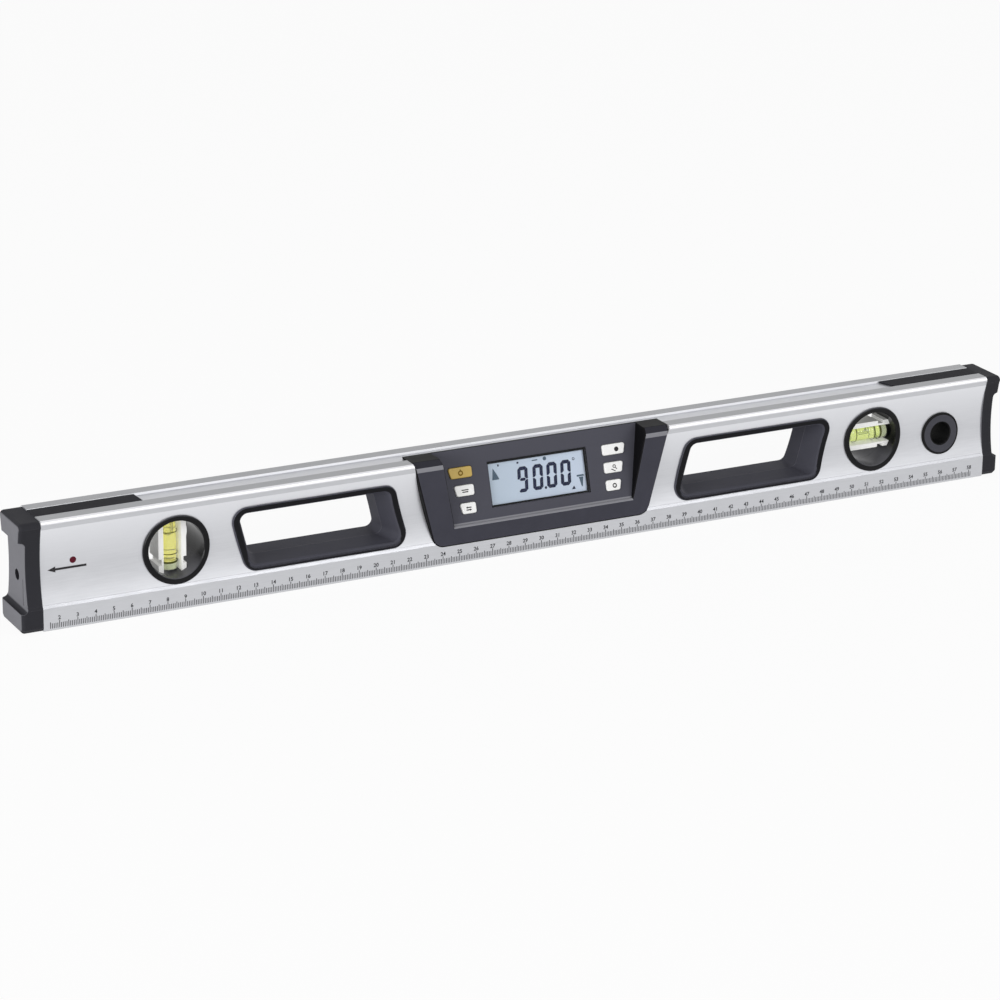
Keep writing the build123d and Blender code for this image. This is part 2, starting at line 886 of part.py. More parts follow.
# Battery door, hinged at its lower edge
with BuildPart() as door:
    with BuildSketch(Plane.XZ.offset(-half_depth + door_thickness)):
        with Locations((mid_x, (door_low + door_high) / 2)):
            Rectangle(2 * (mouth_half_length - door_gap), door_high - door_low)
    extrude(amount=-door_thickness)
    bottom_edge = door.edges().filter_by(Axis.X).group_by(Axis.Z)[0].sort_by(Axis.Y)[-1]
    fillet(bottom_edge, door_round)
    with BuildSketch(Plane.XZ.offset(-half_depth)):
        with Locations((mid_x, door_high - thumb_rise)):
            SlotOverall(thumb_width, thumb_height)
    extrude(amount=thumb_depth, mode=Mode.SUBTRACT)
    with BuildSketch(Plane.YZ.offset(mid_x)):
        with Locations((door_axis_y, door_axis_z)):
            Circle(door_pin_r)
    pin_reach = mouth_half_length - door_gap + door_pin_length
    extrude(amount=pin_reach, both=True)
write_piece(door, "battery_door")

# Two cells lying side by side, pointing opposite ways
for name, z, way in (("lower_cell", cell_heights[0], 1), ("upper_cell", cell_heights[1], -1)):
    with BuildPart() as cell:
        start = mid_x - way * cell_length / 2
        with BuildSketch(Plane.YZ.offset(start)):
            with Locations((cell_y, z)):
                Circle(cell_r)
        extrude(amount=way * (cell_length - nub_length))
        with BuildSketch(Plane.YZ.offset(start + way * (cell_length - nub_length))):
            with Locations((cell_y, z)):
                Circle(nub_r)
        extrude(amount=way * nub_length)
    write_piece(cell, name)

# Contact plates at both ends of the tray, with a raised dimple under each cell end
for name, side, plates in (
    ("split_contacts", -1, [(z, contact_size) for z in cell_heights]),
    ("bridge_contact", 1, [(cell_z, contact_size + cell_pitch)]),
):
    wall_x = mid_x + side * mouth_half_length
    with BuildPart() as contact:
        with BuildSketch(Plane.YZ.offset(wall_x)):
            for z, rise in plates:
                with Locations((cell_y, z)):
                    Rectangle(contact_size, rise)
        extrude(amount=-side * contact_thickness)
        with BuildSketch(Plane.YZ.offset(wall_x - side * contact_thickness)):
            for z in cell_heights:
                with Locations((cell_y, z)):
                    Circle(nub_r)
        extrude(amount=-side * dimple_height, taper=dimple_taper)
    write_piece(contact, name)

# Screws through the rear web into the housing's posts
with BuildPart() as housing_screws:
    with BuildSketch(Plane.XZ.offset(-screw_seat_y)):
        with Locations(*post_places):
            Circle(screw_head_r)
    extrude(amount=-screw_head_height)
    chamfer(housing_screws.faces().group_by(Axis.Y)[-1].edges(), screw_edge)
    with BuildSketch(Plane.XZ.offset(-screw_seat_y)):
        with Locations(*post_places):
            Circle(screw_r - small_gap)
    extrude(amount=screw_seat_y - post_end_y + screw_depth - small_gap)
    with BuildSketch(Plane.XZ.offset(-screw_seat_y - screw_head_height)):
        with Locations(*post_places):
            Rectangle(screw_slot, screw_slot_length)
            Rectangle(screw_slot_length, screw_slot)
    extrude(amount=screw_slot, mode=Mode.SUBTRACT)
write_piece(housing_screws, "housing_screws")

# Small screws that hold the board on its bosses
with BuildPart() as board_screws:
    with BuildSketch(panel.offset(board_back)):
        with Locations(*board_boss_places):
            Circle(board_screw_head_r)
    extrude(amount=-board_screw_head)
    with BuildSketch(panel.offset(board_back)):
        with Locations(*board_boss_places):
            Circle(board_screw_r - small_gap)
    extrude(amount=board_thickness + board_screw_depth - small_gap)
write_piece(board_screws, "board_screws")

# Laser pointer behind the left cap: aperture window, barrel, collimator and bracket
laser_line = Plane(origin=(profile_left, 0, laser_z), x_dir=(0, 1, 0), z_dir=(1, 0, 0))
with BuildPart() as aperture_window:
    with BuildSketch(laser_line.offset(-lens_seat_depth)):
        Circle(lens_seat_r - small_gap)
    extrude(amount=aperture_thickness)
write_piece(aperture_window, "aperture_window")

with BuildPart() as barrel:
    with BuildSketch(laser_line.offset(barrel_start)):
        Circle(barrel_r)
    extrude(amount=barrel_length)
    with BuildSketch(laser_line.offset(barrel_start)):
        Circle(collimator_r)
    extrude(amount=barrel_bore_depth, mode=Mode.SUBTRACT)
write_piece(barrel, "laser_barrel")

with BuildPart() as collimator:
    with BuildSketch(laser_line.offset(barrel_start + collimator_thickness)):
        Circle(collimator_r - small_gap)
    extrude(amount=collimator_thickness)
write_piece(collimator, "laser_collimator")

with BuildPart() as bracket:
    with BuildSketch(laser_line.offset(spigot_length)):
        Rectangle(2 * bracket_half_width, 2 * bracket_half_height)
        Circle(barrel_r + small_gap, mode=Mode.SUBTRACT)
    extrude(amount=bracket_length)
write_piece(bracket, "laser_bracket")
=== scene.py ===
import json
import math

import bmesh
import bpy
from mathutils import Matrix, Vector
from mathutils.bvhtree import BVHTree


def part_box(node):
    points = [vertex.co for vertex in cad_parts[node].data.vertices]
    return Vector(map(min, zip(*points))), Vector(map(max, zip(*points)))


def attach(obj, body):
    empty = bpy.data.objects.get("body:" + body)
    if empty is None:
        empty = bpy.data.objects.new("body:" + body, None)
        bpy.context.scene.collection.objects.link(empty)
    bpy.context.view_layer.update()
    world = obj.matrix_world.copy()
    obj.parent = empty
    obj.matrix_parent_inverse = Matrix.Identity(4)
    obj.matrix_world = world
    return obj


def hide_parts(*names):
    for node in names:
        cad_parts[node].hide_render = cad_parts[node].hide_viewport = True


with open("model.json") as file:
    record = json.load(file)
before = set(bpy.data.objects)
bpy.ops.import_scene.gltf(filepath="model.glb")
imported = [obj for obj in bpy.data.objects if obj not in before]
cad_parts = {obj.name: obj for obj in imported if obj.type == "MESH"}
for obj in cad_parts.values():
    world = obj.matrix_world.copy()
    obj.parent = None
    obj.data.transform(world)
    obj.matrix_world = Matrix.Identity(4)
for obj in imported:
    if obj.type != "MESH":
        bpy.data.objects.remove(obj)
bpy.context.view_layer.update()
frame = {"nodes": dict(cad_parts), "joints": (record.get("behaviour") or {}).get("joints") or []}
nodes = frame["nodes"]
mm = 0.001
white = (1, 1, 1, 1)
print("frame loaded:", len(nodes), "nodes")


# colours are written as they look on screen, and turned linear here
def tone(red, green, blue):
    def linear(value):
        value = value / 255
        return value / 12.92 if value <= 0.04045 else ((value + 0.055) / 1.055) ** 2.4

    return (linear(red), linear(green), linear(blue), 1.0)


def addToScene(name, data):
    thing = bpy.data.objects.new(name, data)
    bpy.context.scene.collection.objects.link(thing)
    return thing


def middleOf(node):
    low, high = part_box(node)
    return (low + high) / 2


# camera

cameraLook = {
    "place": (-0.907434, -1.70136, 0.700378),
    "right": (0.888127, -0.459416, 0.012916),
    "up": (0.141328, 0.299736, 0.943496),
    "lens": 134.311,
    "sensor": 36.0,
    "clip": (0.05, 50),
}


def makeCamera(look):
    data = bpy.data.cameras.new("studioCamera")
    data.sensor_width = look["sensor"]
    data.lens = look["lens"]
    data.clip_start, data.clip_end = look["clip"]
    camera = addToScene("studioCamera", data)
    right = Vector(look["right"]).normalized()
    up = (Vector(look["up"]) - right * right.dot(Vector(look["up"]))).normalized()
    back = right.cross(up)
    turn = Matrix((right, up, back)).transposed().to_4x4()
    camera.matrix_world = Matrix.Translation(look["place"]) @ turn
    bpy.context.scene.camera = camera


makeCamera(cameraLook)
print("camera placed")


# shader helpers: each input is wired to a socket or set to a value


def wireUp(tree, node, wires):
    for key, value in wires.items():
        if isinstance(value, bpy.types.NodeSocket):
            tree.links.new(value, node.inputs[key])
        else:
            node.inputs[key].default_value = value


def addNode(tree, kind, wires, **settings):
    node = tree.nodes.new(kind)
    for key, value in settings.items():
        setattr(node, key, value)
    wireUp(tree, node, wires)
    return node


def nodeOf(tree, kind):
    return next(node for node in tree.nodes if node.type == kind)


def reckon(tree, operation, *values, **settings):
    wires = dict(enumerate(values))
    return addNode(tree, "ShaderNodeMath", wires, operation=operation, **settings).outputs[0]


def reckonVector(tree, operation, *values):
    wires = dict(enumerate(values))
    return addNode(tree, "ShaderNodeVectorMath", wires, operation=operation).outputs


def above(tree, value, limit):
    return reckon(tree, "GREATER_THAN", value, limit)


def below(tree, value, limit):
    return reckon(tree, "LESS_THAN", value, limit)


def both(tree, first, second):
    return reckon(tree, "MULTIPLY", first, second)


def either(tree, first, *others):
    for other in others:
        first = reckon(tree, "MAXIMUM", first, other)
    return first


def between(tree, value, low, high):
    return both(tree, above(tree, value, low), below(tree, value, high))


def ramp(tree, value, start, full, low=0.0, high=1.0):
    wires = {0: value, 1: start, 2: full, 3: low, 4: high}
    return addNode(tree, "ShaderNodeMapRange", wires).outputs[0]


def noise(tree, place, scale, detail, roughness):
    wires = {"Vector": place, "Scale": scale, "Detail": detail, "Roughness": roughness}
    return addNode(tree, "ShaderNodeTexNoise", wires).outputs[0]


def mixColour(tree, share, first, second):
    wires = {0: share, 6: first, 7: second}
    return addNode(tree, "ShaderNodeMix", wires, data_type="RGBA").outputs[2]


def mixShader(tree, share, first, second):
    return addNode(tree, "ShaderNodeMixShader", {0: share, 1: first, 2: second}).outputs[0]


def splitVector(tree, vector):
    return addNode(tree, "ShaderNodeSeparateXYZ", {0: vector}).outputs


def objectPlace(tree):
    return addNode(tree, "ShaderNodeTexCoord", {}).outputs["Object"]


def placeAlong(tree, axis):
    return splitVector(tree, objectPlace(tree))[axis]


def faceNormal(tree):
    return addNode(tree, "ShaderNodeNewGeometry", {}).outputs["Normal"]


def facing(tree, axis):
    return splitVector(tree, faceNormal(tree))[axis]


def facingMask(tree, axis, start, full):
    return ramp(tree, reckon(tree, "ABSOLUTE", facing(tree, axis)), start, full)


def facingUp(tree, start, full):
    return ramp(tree, facing(tree, "Z"), start, full)


# a second colour on the part of a surface that a mask picks out
def tintWhere(tree, mask, colour):
    shader = nodeOf(tree, "BSDF_PRINCIPLED")
    current = shader.inputs["Base Color"].links[0].from_socket
    wireUp(tree, shader, {"Base Color": mixColour(tree, mask, current, colour)})


def newGroup(name, kind, inputs, outputs):
    group = bpy.data.node_groups.new(name, kind)
    for way, sockets in (("INPUT", inputs), ("OUTPUT", outputs)):
        for label, socket in sockets.items():
            group.interface.new_socket(label, in_out=way, socket_type="NodeSocket" + socket)
    given = group.nodes.new("NodeGroupInput").outputs
    return group, given, group.nodes.new("NodeGroupOutput")


# cloudy change of colour and roughness, and the fine pores of a moulded face

grainLook = {
    "cloudDetail": 4.0,
    "cloudRoughness": 0.6,
    "poresPerCloud": 28.0,
    "poreDetail": 2.0,
    "poreRoughness": 0.5,
    "poreDepth": 0.05 * mm,
}


def makeMouldedGrain(look):
    group, given, result = newGroup(
        "mouldedGrain",
        "ShaderNodeTree",
        {
            "Colour": "Color",
            "Spread": "Float",
            "Scale": "Float",
            "Roughness": "Float",
            "Swing": "Float",
        },
        {"Colour": "Color", "Roughness": "Float", "Height": "Float"},
    )
    place = objectPlace(group)
    cloud = noise(group, place, given["Scale"], look["cloudDetail"], look["cloudRoughness"])
    offset = reckon(group, "SUBTRACT", cloud, 0.5)
    gain = reckon(group, "MULTIPLY_ADD", offset, given["Spread"], 1.0)
    shade = addNode(
        group, "ShaderNodeVectorMath", {0: given["Colour"], "Scale": gain}, operation="SCALE"
    ).outputs[0]
    swing = (offset, given["Swing"], given["Roughness"])
    rough = reckon(group, "MULTIPLY_ADD", *swing, use_clamp=True)
    fine = reckon(group, "MULTIPLY", given["Scale"], look["poresPerCloud"])
    pores = noise(group, place, fine, look["poreDetail"], look["poreRoughness"])
    wireUp(group, result, {"Colour": shade, "Roughness": rough, "Height": pores})
    return group


# where edges are, so that a painted highlight can make them paler
def makeEdgeMask(samples):
    group, given, result = newGroup(
        "edgeMask", "ShaderNodeTree", {"Width": "Float", "Gain": "Float"}, {"Mask": "Float"}
    )
    rounded = addNode(group, "ShaderNodeBevel", {"Radius": given["Width"]}, samples=samples)
    match = reckonVector(group, "DOT_PRODUCT", rounded.outputs[0], faceNormal(group))["Value"]
    apart = reckon(group, "SUBTRACT", 1.0, match)
    mask = reckon(group, "MULTIPLY", apart, given["Gain"], use_clamp=True)
    wireUp(group, result, {"Mask": mask})
    return group


# long fine lines along one axis, as on drawn or brushed metal

lineLook = {
    "detail": 3.0,
    "roughness": 0.55,
    "limits": (0.3, 0.7),
    "depth": 0.03 * mm,
    "edgeGain": 1.6,
}


def makeDrawnLines(look):
    group, given, result = newGroup(
        "drawnLines", "ShaderNodeTree", {"Stretch": "Vector", "Scale": "Float"}, {"Mask": "Float"}
    )
    pulled = reckonVector(group, "MULTIPLY", objectPlace(group), given["Stretch"])[0]
    lines = noise(group, pulled, given["Scale"], look["detail"], look["roughness"])
    wireUp(group, result, {"Mask": lines})
    return group


mouldedGrain = makeMouldedGrain(grainLook)
edgeMask = makeEdgeMask(samples=6)
drawnLines = makeDrawnLines(lineLook)
print("shader groups made")


def freshMaterial(name):
    material = bpy.data.materials.new(name)
    material.use_nodes = True
    tree = material.node_tree
    tree.nodes.clear()
    output = tree.nodes.new("ShaderNodeOutputMaterial")
    shader = tree.nodes.new("ShaderNodeBsdfPrincipled")
    tree.links.new(shader.outputs["BSDF"], output.inputs["Surface"])
    return material, tree, shader


def paint(material, names):
    for name in names:
        nodes[name].data.materials.clear()
        nodes[name].data.materials.append(material)


def grainOf(tree, look):
    wires = {
        "Colour": look["colour"],
        "Spread": look["spread"],
        "Scale": look["scale"],
        "Roughness": look["roughness"],
        "Swing": look["swing"],
    }
    return addNode(tree, "ShaderNodeGroup", wires, node_tree=mouldedGrain).outputs


def edgesOf(tree, width, gain):
    wires = {"Width": width, "Gain": gain}
    return addNode(tree, "ShaderNodeGroup", wires, node_tree=edgeMask).outputs["Mask"]


def reliefOf(tree, height, strength, depth):
    wires = {"Height": height, "Strength": strength, "Distance": depth}
    return addNode(tree, "ShaderNodeBump", wires).outputs["Normal"]


def grainMaterial(name, look, values):
    material, tree, shader = freshMaterial(name)
    grain = grainOf(tree, look)
    wireUp(tree, shader, {"Base Color": grain["Colour"], "Roughness": grain["Roughness"]})
    wireUp(tree, shader, values)
    return material


def mouldedPlastic(name, look):
    material, tree, shader = freshMaterial(name)
    grain = grainOf(tree, look)
    edges = edgesOf(tree, look["edgeWidth"], look["edgeGain"])
    relief = reliefOf(tree, grain["Height"], look["relief"], grainLook["poreDepth"])
    # the edge colour is a painted highlight along the rounded edges
    wires = {
        "Base Color": mixColour(tree, edges, grain["Colour"], look["edgeColour"]),
        "Roughness": grain["Roughness"],
        "Normal": relief,
        "Specular IOR Level": look["sheen"],
    }
    wireUp(tree, shader, wires)
    return material


# moulded pieces

plasticLooks = {
    "stripPlastic": {
        "colour": tone(40, 40, 44),
        "spread": 0.3,
        "scale": 120.0,
        "roughness": 0.75,
        "swing": 0.25,
        "relief": 0.15,
        "sheen": 0.12,
        "edgeColour": tone(90, 90, 96),
        "edgeWidth": 0.3 * mm,
        "edgeGain": 1.5,
        "nodes": ("left_top_strip", "right_top_strip"),
    },
    "ringPlastic": {
        "colour": tone(14, 14, 16),
        "spread": 0.3,
        "scale": 120.0,
        "roughness": 0.22,
        "swing": 0.1,
        "relief": 0.05,
        "sheen": 0.15,
        "edgeColour": tone(60, 60, 66),
        "edgeWidth": 0.4 * mm,
        "edgeGain": 2.0,
        "nodes": (
            "plumb_vial_ring_front",
            "plumb_vial_ring_rear",
            "level_vial_ring_front",
            "level_vial_ring_rear",
        ),
    },
    "trayPlastic": {
        "colour": tone(50, 50, 55),
        "spread": 0.3,
        "scale": 90.0,
        "roughness": 0.5,
        "swing": 0.25,
        "relief": 0.3,
        "sheen": 0.45,
        "edgeColour": tone(88, 88, 94),
        "edgeWidth": 0.5 * mm,
        "edgeGain": 2.0,
        "nodes": ("battery_tray", "battery_door"),
    },
    "whitePlastic": {
        "colour": tone(250, 250, 249),
        "spread": 0.08,
        "scale": 110.0,
        "roughness": 0.42,
        "swing": 0.2,
        "relief": 0.1,
        "sheen": 0.4,
        "edgeColour": tone(248, 248, 248),
        "edgeWidth": 0.3 * mm,
        "edgeGain": 1.0,
        "nodes": (
            "key_left_middle",
            "key_left_bottom",
            "key_right_top",
            "key_right_middle",
            "key_right_bottom",
            "backlight",
            "laser_bracket",
        ),
    },
    "plugPlastic": {
        "colour": tone(222, 230, 186),
        "spread": 0.12,
        "scale": 140.0,
        "roughness": 0.35,
        "swing": 0.2,
        "relief": 0.05,
        "sheen": 0.5,
        "edgeColour": tone(244, 246, 226),
        "edgeWidth": 0.3 * mm,
        "edgeGain": 1.0,
        "nodes": ("plumb_vial_plug", "level_vial_plug"),
    },
    "goldPlastic": {
        "colour": tone(198, 168, 84),
        "spread": 0.3,
        "scale": 160.0,
        "roughness": 0.36,
        "swing": 0.25,
        "relief": 0.1,
        "sheen": 0.5,
        "edgeColour": tone(236, 206, 120),
        "edgeWidth": 0.4 * mm,
        "edgeGain": 1.6,
        "nodes": ("key_left_top",),
    },
    "boardLacquer": {
        "colour": tone(28, 92, 58),
        "spread": 0.6,
        "scale": 260.0,
        "roughness": 0.4,
        "swing": 0.3,
        "relief": 0.3,
        "sheen": 0.5,
        "edgeColour": tone(150, 150, 96),
        "edgeWidth": 0.2 * mm,
        "edgeGain": 1.2,
        "nodes": ("display_board",),
    },
    "chipPlastic": {
        "colour": tone(36, 36, 38),
        "spread": 0.3,
        "scale": 240.0,
        "roughness": 0.55,
        "swing": 0.2,
        "relief": 0.3,
        "sheen": 0.4,
        "edgeColour": tone(70, 70, 74),
        "edgeWidth": 0.2 * mm,
        "edgeGain": 1.4,
        "nodes": ("board_chips", "buzzer", "key_switches"),
    },
}

for plasticName, plasticLook in plasticLooks.items():
    paint(mouldedPlastic(plasticName, plasticLook), plasticLook["nodes"])


# painted light: the lower inside of each vial window, which faces up, is tinted paler

ringFloorLight = {"colour": tone(88, 88, 93), "facing": (0.4, 0.8)}
ringTree = bpy.data.materials["ringPlastic"].node_tree
tintWhere(ringTree, facingUp(ringTree, *ringFloorLight["facing"]), ringFloorLight["colour"])


# end caps: painted light makes the faces at the ends paler

capLook = {
    "colour": tone(40, 40, 45),
    "paintedEndLight": tone(114, 114, 119),
    "paintedEndFacing": (0.8, 0.95),
    "spread": 0.35,
    "scale": 90.0,
    "roughness": 0.72,
    "swing": 0.25,
    "relief": 0.35,
    "sheen": 0.2,
    "edgeColour": tone(104, 104, 110),
    "edgeWidth": 0.7 * mm,
    "edgeGain": 2.6,
    "nodes": ("left_end_cap", "right_end_cap"),
}


def capMaterial(look):
    material = mouldedPlastic("capRubber", look)
    tree = material.node_tree
    # painted light on the faces at the ends
    tintWhere(tree, facingMask(tree, "X", *look["paintedEndFacing"]), look["paintedEndLight"])
    return material


paint(capMaterial(capLook), capLook["nodes"])


# vial holders: white plastic with a painted glow that brightens it, and painted shade on the upper
# bar's top

holderLook = {
    "colour": tone(244, 244, 242),
    "spread": 0.06,
    "scale": 110.0,
    "roughness": 0.42,
    "swing": 0.2,
    "relief": 0.1,
    "sheen": 0.4,
    "edgeColour": tone(250, 250, 250),
    "edgeWidth": 0.3 * mm,
    "edgeGain": 1.0,
    "glow": tone(250, 250, 246),
    "paintedGlowStrength": 0.16,
    "top": tone(110, 112, 108),
    "topFacing": (0.8, 0.9),
    "nodes": ("plumb_vial_holder", "level_vial_holder"),
}


def holderMaterial(look):
    material = mouldedPlastic("holderPlastic", look)
    tree = material.node_tree
    # painted glow that brightens the white plastic
    glow = {"Emission Color": look["glow"], "Emission Strength": look["paintedGlowStrength"]}
    wireUp(tree, nodeOf(tree, "BSDF_PRINCIPLED"), glow)
    # painted shade on the top of the upper bar
    upperBar = above(tree, placeAlong(tree, "Z"), middleOf("level_vial_holder").z)
    tintWhere(tree, both(tree, facingUp(tree, *look["topFacing"]), upperBar), look["top"])
    return material


paint(holderMaterial(holderLook), holderLook["nodes"])


# display housing: painted shade makes the side walls, underside, top and wing slopes dark, painted
# sheen makes the panel paler, and painted highlights make the rounded edges and the ledge pale

housingLook = {
    "colour": tone(66, 66, 75),
    "dark": tone(14, 14, 16),
    "slope": tone(50, 50, 57),
    "slopeFacing": (0.7, 0.8),
    "sideFacing": (0.5, 0.6),
    "underFrom": -0.3,
    "topFrom": 59.9 * mm,
    "panel": tone(80, 80, 89),
    "panelFacing": (0.2, 0.34),
    "paintedLight": tone(138, 138, 144),
    "ridgeFacing": (0.34, 0.68),
    "ridgeFront": (54.9 * mm, 57.2 * mm),
    "frontAt": -14.9 * mm,
    "ledgeFacing": 0.1,
    "ledgeBelow": 21.9 * mm,
    "spread": 0.28,
    "scale": 70.0,
    "roughness": 0.5,
    "swing": 0.2,
    "relief": 0.3,
    "sheen": 0.07,
    "edgeColour": tone(112, 112, 120),
    "edgeWidth": 0.6 * mm,
    "edgeGain": 2.6,
    "nodes": ("display_housing",),
}


def housingMaterial(look):
    material = mouldedPlastic("housingPlastic", look)
    tree = material.node_tree
    up = placeAlong(tree, "Z")
    upward = facing(tree, "Z")
    # painted sheen on the panel, painted shade on the wing slopes
    tintWhere(tree, between(tree, upward, *look["panelFacing"]), look["panel"])
    tintWhere(tree, between(tree, upward, *look["slopeFacing"]), look["slope"])
    # painted highlights on the ridges, the brow and the ledge
    paintedRidgeHighlight = between(tree, upward, *look["ridgeFacing"])
    front = below(tree, placeAlong(tree, "Y"), look["frontAt"])
    browHighlight = both(tree, between(tree, up, *look["ridgeFront"]), front)
    raised = above(tree, upward, look["ledgeFacing"])
    ledgeHighlight = both(tree, raised, below(tree, up, look["ledgeBelow"]))
    tintWhere(tree, either(tree, paintedRidgeHighlight, browHighlight, ledgeHighlight), look["paintedLight"])
    # painted shade on the side walls, the underside and the top
    side = facingMask(tree, "X", *look["sideFacing"])
    under = below(tree, upward, look["underFrom"])
    top = above(tree, up, look["topFrom"])
    tintWhere(tree, either(tree, side, under, top), look["dark"])
    return material


paint(housingMaterial(housingLook), housingLook["nodes"])


# hand-hole liners: painted shade makes the rim darker than the walls, but not its inner half where
# light falls

gripLook = {
    "colour": tone(72, 72, 81),
    "rim": tone(21, 21, 24),
    "rimFacing": (0.75, 0.9),
    "rimRound": 1.7 * mm,
    "rimSamples": 8,
    "litFrom": 0.2,
    "middleUp": 32.2 * mm,
    "middleAcross": (-131.0 * mm, 135.4 * mm),
    "spread": 0.3,
    "scale": 80.0,
    "roughness": 0.6,
    "swing": 0.25,
    "relief": 0.2,
    "sheen": 0.1,
    "edgeColour": tone(112, 112, 120),
    "edgeWidth": 0.5 * mm,
    "edgeGain": 2.2,
    "nodes": ("left_grip_front", "left_grip_rear", "right_grip_front", "right_grip_rear"),
}


def gripMaterial(look):
    material = mouldedPlastic("gripPlastic", look)
    tree = material.node_tree
    rounded = addNode(
        tree, "ShaderNodeBevel", {"Radius": look["rimRound"]}, samples=look["rimSamples"]
    )
    turned = splitVector(tree, rounded.outputs[0])
    faceUp = above(tree, turned["Z"], look["litFrom"])
    faceLeft = below(tree, turned["X"], -look["litFrom"])
    low = below(tree, placeAlong(tree, "Z"), look["middleUp"])
    across = placeAlong(tree, "X")
    leftGripEnd = between(tree, across, look["middleAcross"][0], 0.0)
    rightGripEnd = above(tree, across, look["middleAcross"][1])
    end = either(tree, leftGripEnd, rightGripEnd)
    # painted shade on the rim, left out where light falls
    lit = either(tree, both(tree, faceUp, low), both(tree, faceLeft, end))
    rim = facingMask(tree, "Y", *look["rimFacing"])
    tintWhere(tree, reckon(tree, "SUBTRACT", rim, lit), look["rim"])
    return material


paint(gripMaterial(gripLook), gripLook["nodes"])


# eyelet: painted shade makes the bore black and the border dark, by the distance from its axis; the
# face stays grey

eyeletLook = {
    "colour": tone(70, 70, 77),
    "spread": 0.25,
    "scale": 120.0,
    "roughness": 0.6,
    "swing": 0.2,
    "relief": 0.15,
    "sheen": 0.15,
    "edgeColour": tone(70, 70, 76),
    "edgeWidth": 0.4 * mm,
    "edgeGain": 1.5,
    "dark": tone(7, 7, 8),
    "boreEdge": 7.0 * mm,
    "border": 11.0 * mm,
    "nodes": ("eyelet_front", "eyelet_rear"),
}


def eyeletMaterial(look):
    material = mouldedPlastic("eyeletPlastic", look)
    tree = material.node_tree
    middle = middleOf("eyelet_front")
    offset = reckonVector(tree, "SUBTRACT", objectPlace(tree), (middle.x, 0, middle.z))[0]
    flat = reckonVector(tree, "MULTIPLY", offset, (1, 0, 1))[0]
    reach = reckonVector(tree, "LENGTH", flat)["Value"]
    # painted shade in the bore and on the border
    shadedBore = below(tree, reach, look["boreEdge"])
    shadedBorder = above(tree, reach, look["border"])
    tintWhere(tree, either(tree, shadedBore, shadedBorder), look["dark"])
    return material


paint(eyeletMaterial(eyeletLook), eyeletLook["nodes"])
print("moulded pieces painted")


# metal pieces

metalLooks = {
    "satinAluminium": {
        "colour": tone(202, 203, 207),
        "dark": tone(196, 197, 201),
        "metallic": 0.75,
        "roughness": (0.32, 0.4),
        "stretch": (0.06, 1.0, 1.0),
        "scale": 1400.0,
        "relief": 0.04,
        "edgeColour": tone(226, 227, 230),
        "edgeWidth": 0.5 * mm,
        "nodes": ("profile",),
    },
    "drawnSteel": {
        "colour": tone(176, 176, 180),
        "dark": tone(140, 140, 146),
        "metallic": 1.0,
        "roughness": (0.25, 0.42),
        "stretch": (1.0, 1.0, 0.2),
        "scale": 900.0,
        "relief": 0.1,
        "edgeColour": tone(210, 210, 214),
        "edgeWidth": 0.15 * mm,
        "nodes": (
            "housing_screws",
            "board_screws",
            "split_contacts",
            "bridge_contact",
            "tilt_sensor",
        ),
    },
    "turnedBrass": {
        "colour": tone(196, 158, 92),
        "dark": tone(164, 126, 66),
        "metallic": 1.0,
        "roughness": (0.22, 0.4),
        "stretch": (1.0, 0.1, 0.1),
        "scale": 1200.0,
        "relief": 0.1,
        "edgeColour": tone(226, 196, 136),
        "edgeWidth": 0.2 * mm,
        "nodes": ("laser_barrel",),
    },
}


def brushedMetal(name, look):
    material, tree, shader = freshMaterial(name)
    pull = {"Stretch": look["stretch"], "Scale": look["scale"]}
    lines = addNode(tree, "ShaderNodeGroup", pull, node_tree=drawnLines).outputs["Mask"]
    streaks = ramp(tree, lines, *lineLook["limits"])
    metal = mixColour(tree, streaks, look["dark"], look["colour"])
    edges = edgesOf(tree, look["edgeWidth"], lineLook["edgeGain"])
    # the edge colour is a painted highlight along the edges
    wires = {
        "Base Color": mixColour(tree, edges, metal, look["edgeColour"]),
        "Roughness": ramp(tree, lines, *lineLook["limits"], *look["roughness"]),
        "Normal": reliefOf(tree, lines, look["relief"], lineLook["depth"]),
        "Metallic": look["metallic"],
    }
    wireUp(tree, shader, wires)
    return material


for metalName, metalLook in metalLooks.items():
    paint(brushedMetal(metalName, metalLook), metalLook["nodes"])


# the aluminium, with painted light: webs painted paler toward the top, painted shade on the step
# over the scale, painted highlights on the ridges beside the top, and painted shade on the two flat
# measuring faces, top and bottom

aluminiumLightLook = {
    "paintedLight": tone(226, 227, 231),
    "paleFrom": 30 * mm,
    "paleFull": 54 * mm,
    "paleEnd": 55.1 * mm,
    "paintedRidgeHighlight": tone(230, 230, 233),
    "ridgeFrom": 57.9 * mm,
    "ridgeTo": 59.93 * mm,
    "ridgeBeyond": 12.4 * mm,
    "step": tone(170, 171, 175),
    "stepFrom": 12.3 * mm,
    "stepTo": 14.1 * mm,
    "paintedFlatShade": tone(156, 157, 160),
    "flatShadeAbove": 59.95 * mm,
    "flatShadeBelow": 0.05 * mm,
}


